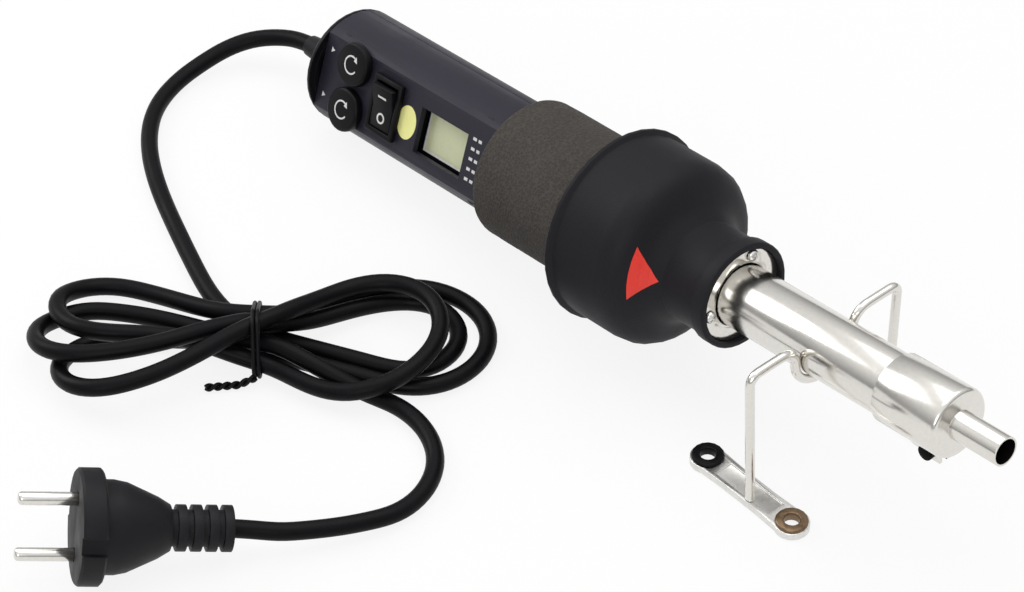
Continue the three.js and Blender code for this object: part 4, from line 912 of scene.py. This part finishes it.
# Marks on the panel: radii and turns in degrees of the open circles, and (radius, turn) of their arrow heads
CIRCLE = (2.9, 3.5)
CIRCLE_FROM = 60
CIRCLE_TO = 330
ARROW_HEAD = ((2.1, 0), (4.3, 0), (3.2, -0.6))
ON_MARK = (2.2, 0.4)
OFF_MARK = (1.3, 2)
DISPLAY_BORDER = (11.9, 7.9)
DISPLAY_CRYSTAL = (11, 7)
STICKER = (4.75, 6.15)
STICKER_STEPS = 64
POINTER_STATION = 6
POINTER = ((0, -1), (1.7, 0), (0, 1))
BAR_ENDS = ((84.2, 86), (87, 88.6))
BAR_SIDE = -8.6
BAR_PITCH = 3.7
BAR_COUNT = 5
BAR_WIDTH = 1.1
PRINT_FOOT = 0.01


def arc_band(inner, outer, begin, to, steps=32):
    """The outline of part of a ring."""
    turns = [math.radians(begin + (to - begin) * i / steps) for i in range(steps + 1)]
    return ([(outer * math.cos(a), outer * math.sin(a)) for a in turns]
            + [(inner * math.cos(a), inner * math.sin(a)) for a in reversed(turns)])


def oblong(left, right, low, high):
    """The outline of a rectangle."""
    return [(left, low), (right, low), (right, high), (left, high)]


def centred(half_length, half_width):
    """The outline of a rectangle about the origin."""
    return oblong(-half_length, half_length, -half_width, half_width)


def printed(name, shapes, place, body, material="white_ink", slot=None):
    """Thin printed shapes on a flat face whose Z is outwards."""
    lift = size("print_lift")
    mesh = mesh_of(combined([prism(shape, PRINT_FOOT, lift) for shape in shapes]), name, place)
    return piece(name, mesh, material, body, slot)


class HotAirControls(bpy.types.Operator):
    """Knobs, rocker switch, display and the marks round them"""
    bl_idname = "hot_air.controls"
    bl_label = "Controls"

    def execute(self, context):
        # Knobs with an open circle and its arrow head
        tip = math.radians(CIRCLE_FROM)
        head = [(r * math.cos(tip + a), r * math.sin(tip + a)) for r, a in ARROW_HEAD]
        arrow = [arc_band(*CIRCLE, CIRCLE_FROM, CIRCLE_TO), head]
        for use, side in (("temperature", KNOB_SIDE), ("airflow", -KNOB_SIDE)):
            knob = f"{use}_knob"
            dressed(knob, "black_nylon", knob, "black_plastic", bevel=0.35)
            top = PANEL @ Matrix.Translation((KNOB_STATION, side, KNOB_TOP))
            printed(f"{use}_arrow", arrow, top, knob)

        # Rocker switch: a bar on the upper half and a ring on the lower half
        dressed("rocker_frame", "black_nylon", "handle", "black_plastic", bevel=0.35)
        dressed("rocker_button", "black_nylon", "rocker", "black_plastic", bevel=0.3)
        pivot = PANEL @ Matrix.Translation((ROCKER_STATION, 0, ROCKER_PIVOT))
        pivot = pivot @ Matrix.Rotation(ROCKER_TILT, 4, "X")
        dish = math.atan2(1, BUTTON_REACH)
        for name, way, shapes in [
            ("rocker_on_mark", 1, [centred(*ON_MARK)]),
            ("rocker_off_mark", -1, [arc_band(*OFF_MARK, 0, 180), arc_band(*OFF_MARK, 180, 360)]),
        ]:
            face = pivot @ Matrix.Translation((0, way * BUTTON_REACH / 2, BUTTON_TOP))
            printed(name, shapes, face @ Matrix.Rotation(way * dish, 4, "X"), "rocker")

        # Display: a pale border round the liquid crystal, deep in its black window
        dressed("display_module", "black_nylon", "handle", "black_plastic", bevel=0.2)
        middle = PANEL @ Matrix.Translation(DISPLAY_PLACE)
        printed("display_border", [centred(*DISPLAY_BORDER)], middle, "handle")
        raised = middle @ Matrix.Translation((0, 0, size("print_lift")))
        printed("display_crystal", [centred(*DISPLAY_CRYSTAL)], raised, "handle", "liquid_crystal",
                "display_glass")

        # Bare oval sticker between the switch and the display
        turns = [2 * math.pi * i / STICKER_STEPS for i in range(STICKER_STEPS)]
        oval = [(STICKER[0] * math.cos(a), STICKER[1] * math.sin(a)) for a in turns]
        printed("oval_sticker", [oval], PANEL @ Matrix.Translation(STICKER_PLACE), "handle", "coated_paper")

        # Plain pointers behind the knobs and plain bars ahead of the display
        pointers = [[(POINTER_STATION + x, side + y) for x, y in POINTER] for side in (KNOB_SIDE, -KNOB_SIDE)]
        sides = [BAR_SIDE + BAR_PITCH * i for i in range(BAR_COUNT)]
        bars = [oblong(*ends, side, side + BAR_WIDTH) for side in sides for ends in BAR_ENDS]
        printed("panel_marks", pointers + bars, PANEL @ Matrix.Translation((0, 0, FLAT)), "handle")
        return {"FINISHED"}


# Foam grip: stations along the tool, radii, the steps of its outline, and the waves in its skin
GRIP_REAR = 97
GRIP_FRONT = 144
GRIP_OUTER = 25.8
GRIP_BORE = 21.7
GRIP_EDGE = 1.6
EDGE_STEPS = 6
GRIP_STEPS = 60
GRIP_SIDES = 200
SKIN_DEPTH = 1
SKIN_WAVES = ((0.9, 0.05), (0.12, 0.12))
SKIN_DROP = 0.16


def grip_outline():
    """The grip's section, with rounded ends and enough steps for its skin."""
    turns = [math.pi / 2 * i / EDGE_STEPS for i in range(EDGE_STEPS + 1)]
    rear, front, crest = GRIP_REAR + GRIP_EDGE, GRIP_FRONT - GRIP_EDGE, GRIP_OUTER - GRIP_EDGE
    rear_edge = [(rear - GRIP_EDGE * math.cos(a), crest + GRIP_EDGE * math.sin(a)) for a in turns]
    skin = [(rear + (front - rear) * i / GRIP_STEPS, GRIP_OUTER) for i in range(1, GRIP_STEPS)]
    front_edge = [(front + GRIP_EDGE * math.sin(a), crest + GRIP_EDGE * math.cos(a)) for a in turns]
    return [(GRIP_REAR, GRIP_BORE), *rear_edge, *skin, *front_edge, (GRIP_FRONT, GRIP_BORE),
            (GRIP_REAR, GRIP_BORE)]


class HotAirGrip(bpy.types.Operator):
    """Foam grip, with a slightly uneven skin"""
    bl_idname = "hot_air.grip"
    bl_label = "Grip"

    def execute(self, context):
        bm = turned(grip_outline(), GRIP_SIDES)
        for vertex in bm.verts:
            across = Vector((0, vertex.co.y, vertex.co.z))
            if across.length > GRIP_BORE + SKIN_DEPTH:
                lift = sum(noise.noise(vertex.co * rate) * height for rate, height in SKIN_WAVES)
                vertex.co += across.normalized() * (lift - SKIN_DROP)
        skin = rounded(mesh_of(bm, "foam", TOOL), sharp=SOFT_SHARP)
        foam = piece("grip_foam", skin, "rubber_foam", "handle", "grey_foam", "foam_grip")
        return {"FINISHED"}


# Corners of the red triangle: station along the tool and turn from its top to the near side, in degrees
TRIANGLE = ((176.8, 49), (176.8, 91), (183.2, 74))
TRIANGLE_ROWS = 14
OUTSIDE = 60


def dome_spot(housing, station, turn):
    """A point on the housing, with a print's thickness of room for the ink."""
    angle = math.radians(turn)
    out = (TOOL.to_3x3() @ Vector((0, -math.sin(angle), math.cos(angle)))).normalized()
    begin = TOOL @ Vector((station, 0, 0)) + out * (OUTSIDE * MM)
    _, at, normal, _ = housing.ray_cast(begin, -out)
    return at + normal * (2 * size("print_lift") * MM)


class HotAirBlower(bpy.types.Operator):
    """Blower housing with a plain red triangle, and the intake grille"""
    bl_idname = "hot_air.blower"
    bl_label = "Blower"

    def execute(self, context):
        housing = dressed("blower_housing", "filled_nylon", "handle", "housing_plastic", bevel=0.4)
        dressed("intake_grille", "black_nylon", "handle", "black_plastic", bevel=0.2)

        # Bare triangle printed on the dome, laid on its surface row by row
        top, near, nose = (Vector(corner) for corner in TRIANGLE)
        bm = bmesh.new()
        rows = []
        for k in range(TRIANGLE_ROWS + 1):
            begin, end = top.lerp(near, k / TRIANGLE_ROWS), top.lerp(nose, k / TRIANGLE_ROWS)
            spots = [begin.lerp(end, j / max(k, 1)) for j in range(k + 1)]
            rows.append([bm.verts.new(dome_spot(housing, *spot)) for spot in spots])
        for upper, lower in zip(rows, rows[1:]):
            for j, spot in enumerate(upper):
                bm.faces.new((spot, lower[j], lower[j + 1]))
                if j:
                    bm.faces.new((upper[j - 1], lower[j], spot))
        bmesh.ops.solidify(bm, geom=bm.faces[:], thickness=size("print_lift") * MM)
        piece("red_triangle", mesh_of(bm, "triangle", Matrix()), "red_ink", "handle")
        return {"FINISHED"}


# Flange screws: stations along the tool, radii, the cross recess, and their circle on the flange
SCREW_TIP = 198
SCREW_SEAT = 203.3
SCREW_HEAD = 1.5
SCREW_RIM = 2.1
SCREW_SHANK = 0.9
CROWN_STEPS = 8
SCREW_SIDES = 32
RECESS_LENGTH = 2.6
RECESS_WIDTH = 0.5
RECESS_DEPTH = 0.7
SCREW_COUNT = 3
SCREW_CIRCLE = 14.2
SCREW_ROLL = math.pi - math.radians(25)


def pan_head_screw():
    """A pan-head screw along X with a cross recess."""
    turns = [math.pi / 2 * i / CROWN_STEPS for i in range(CROWN_STEPS)]
    crown = [(SCREW_SEAT + SCREW_HEAD * math.sin(a), SCREW_RIM * math.cos(a)) for a in turns]
    top = SCREW_SEAT + SCREW_HEAD
    outline = [(SCREW_TIP, 0), (SCREW_TIP, SCREW_SHANK), (SCREW_SEAT, SCREW_SHANK), *crown, (top, 0)]
    screw = mesh_of(turned(outline, SCREW_SIDES), "screw", Matrix())
    for width, height in ((RECESS_WIDTH, RECESS_LENGTH), (RECESS_LENGTH, RECESS_WIDTH)):
        bar = bmesh.new()
        bmesh.ops.create_cube(bar, size=1, matrix=Matrix.Translation((top, 0, 0))
                              @ Matrix.Diagonal((2 * RECESS_DEPTH, width, height, 1)))
        screw = cut(screw, mesh_of(bar, "bar", Matrix()))
    shape = bmesh.new()
    shape.from_mesh(screw)
    return shape


class HotAirHeater(bpy.types.Operator):
    """Barrel, flange plate and the flange's cross-slotted screws"""
    bl_idname = "hot_air.heater"
    bl_label = "Heater barrel"

    def execute(self, context):
        dressed("barrel_tube", "nickel_plate", "handle", "nickel_steel", bevel=0.15)
        dressed("barrel_flange", "nickel_plate", "handle", "nickel_steel", bevel=0.2)
        screws = ring_of("flange_screws", pan_head_screw(), SCREW_COUNT, SCREW_CIRCLE, SCREW_ROLL, TOOL,
                         "zinc_plate")
        piece("flange_screw_ring", rounded(screws), "zinc_plate", "handle", "nickel_steel",
              *[f"flange_screw_{i + 1}" for i in range(SCREW_COUNT)])
        return {"FINISHED"}


# A face counts as part of the bore when it looks along the axis by less than this share
BORE_FACING = 0.7


class HotAirNozzle(bpy.types.Operator):
    """Push-on nozzle with its clamp screw and nut"""
    bl_idname = "hot_air.nozzle"
    bl_label = "Nozzle"

    def execute(self, context):
        nozzle = dressed("nozzle", "nickel_plate", "nozzle", "nickel_steel", bevel=0.2)

        # The hot air has blackened the faces that look in towards the axis
        nozzle.data.materials.append(finish("scaled_steel"))
        to_tool = TOOL.inverted()
        for face in nozzle.data.polygons:
            middle = to_tool @ face.center
            facing = to_tool.to_3x3() @ face.normal
            if abs(facing.x) < BORE_FACING * facing.length and middle.y * facing.y + middle.z * facing.z < 0:
                face.material_index = 1
        dressed("clamp_nut", "zinc_plate", "nozzle", "nickel_steel", bevel=0.2)
        dressed("clamp_screw", "scaled_steel", "clamp_screw", "nickel_steel", bevel=0.25)
        return {"FINISHED"}


# Stand wire, in millimetres from the floor and from the tool's middle plane
LEG_SIDE = 33
LEG_BOTTOM = 2.9
NEAR_LEG_LEAN = 3.2
ARM_HEIGHT = 59.8
ARM_BEND = 3.6
AXIS_HEIGHT = 53.699
SADDLE = 13.003
SADDLE_FROM = 195
SADDLE_TO = 255
BEND_STEPS = 6
WIRE_STEP = 0.8
WIRE_SIDES = 20


def half_wire(lean):
    """Half of the stand wire: a leg, a square bend, an arm, a hook and half of the barrel's saddle."""
    rise = ARM_HEIGHT - ARM_BEND - LEG_BOTTOM
    half = [(lean * (1 - share) - LEG_SIDE, LEG_BOTTOM + rise * share) for share in (0, 1 / 3, 2 / 3)]
    hook = ARM_HEIGHT - AXIS_HEIGHT
    for y, z, radius, begin, to in [(ARM_BEND - LEG_SIDE, ARM_HEIGHT - ARM_BEND, ARM_BEND, 180, 90),
                                    (-SADDLE - hook, AXIS_HEIGHT, hook, 90, 0),
                                    (0, AXIS_HEIGHT, SADDLE, SADDLE_FROM, SADDLE_TO)]:
        turns = [math.radians(begin + (to - begin) * i / BEND_STEPS) for i in range(BEND_STEPS + 1)]
        half += [(y + radius * math.cos(a), z + radius * math.sin(a)) for a in turns]
    return half


class HotAirStand(bpy.types.Operator):
    """Wire stand with its foot plates and rings"""
    bl_idname = "hot_air.stand"
    bl_label = "Stand"

    def execute(self, context):
        # The near leg leans in to its foot plate, and the far leg is upright
        far = [(-y, z) for y, z in reversed(half_wire(0))]
        whole = [*half_wire(NEAR_LEG_LEAN), (0, AXIS_HEIGHT - SADDLE), *far]
        bent = swept(smooth_line([(0, y, z) for y, z in whole], WIRE_STEP), size("wire") / 2, WIRE_SIDES)
        wire = rounded(mesh_of(bent, "stand_wire", STAND), sharp=SOFT_SHARP)
        piece("stand_wire_finish", wire, "nickel_plate", "stand", "nickel_steel", "stand_wire")
        for side in ("near", "far"):
            dressed(f"{side}_foot_plate", "zinc_plate", "stand", "nickel_steel", bevel=0.5)
            dressed(f"{side}_rear_eyelet", "black_nylon", "stand", "black_plastic", bevel=0.3)
            # The front eyelets take the bronze-brown painted reflection
            dressed(f"{side}_front_eyelet", "steel_painted_reflection", "stand", "brown_steel", bevel=0.3)
        return {"FINISHED"}


class HotAirPlug(bpy.types.Operator):
    """Round-pin plug and the strain relief at the tail"""
    bl_idname = "hot_air.plug"
    bl_label = "Plug"

    def execute(self, context):
        dressed("plug_body", "moulded_pvc", "handle", "plug_rubber", bevel=0.4)
        for number in (1, 2):
            dressed(f"plug_pin_{number}", "nickel_plate", "handle", "nickel_steel", bevel=0.1)
        dressed("cord_strain_relief", "moulded_pvc", "handle", "cord_rubber", bevel=0.4)
        return {"FINISHED"}


class HotAirInside(bpy.types.Operator):
    """Finishes on the pieces inside, which stay as the CAD made them"""
    bl_idname = "hot_air.inside"
    bl_label = "Inside"

    def execute(self, context):
        looks = {
            "black_nylon": ("motor_mount", "impeller"),
            "solder_mask": ("control_board",),
            "zinc_plate": ("shell_screw_1", "shell_screw_2", "shell_screw_3", "shell_screw_4", "blower_motor",
                           "temperature_potentiometer", "airflow_potentiometer", "heater_coil",
                           "temperature_sensor"),
            "fired_steatite": ("heater_core",),
            "mica_sheet": ("insulating_sleeve",),
        }
        for material, names in looks.items():
            for name in names:
                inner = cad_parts[name]
                inner.data.materials.clear()
                inner.data.materials.append(finish(material))
        return {"FINISHED"}


# The steps in their order: the pieces on the lead come before the lead
STEPS = (HotAirStage, HotAirPlug, HotAirTie, HotAirLead, HotAirHandle, HotAirControls, HotAirGrip,
         HotAirBlower, HotAirHeater, HotAirNozzle, HotAirStand, HotAirInside)


class HotAirPanel(bpy.types.Panel):
    """Lists the steps and their settings"""
    bl_idname = "VIEW3D_PT_hot_air"
    bl_label = "Hot air tool"
    bl_space_type = "VIEW_3D"
    bl_region_type = "UI"
    bl_category = "Hot air tool"

    def draw(self, context):
        for step in STEPS:
            self.layout.operator(step.bl_idname)
        for group in (context.scene.hot_air_colours, context.scene.hot_air_sizes):
            for name in group.__annotations__:
                self.layout.prop(group, name)


CLASSES = (HotAirColours, HotAirSizes, *STEPS, HotAirPanel)


def register():
    for made in CLASSES:
        bpy.utils.register_class(made)
    bpy.types.Scene.hot_air_colours = bpy.props.PointerProperty(type=HotAirColours)
    bpy.types.Scene.hot_air_sizes = bpy.props.PointerProperty(type=HotAirSizes)


def unregister():
    del bpy.types.Scene.hot_air_sizes
    del bpy.types.Scene.hot_air_colours
    for made in reversed(CLASSES):
        bpy.utils.unregister_class(made)


def main():
    register()
    for step in STEPS:
        group, name = step.bl_idname.split(".")
        getattr(getattr(bpy.ops, group), name)()


if __name__ == "__main__":
    main()
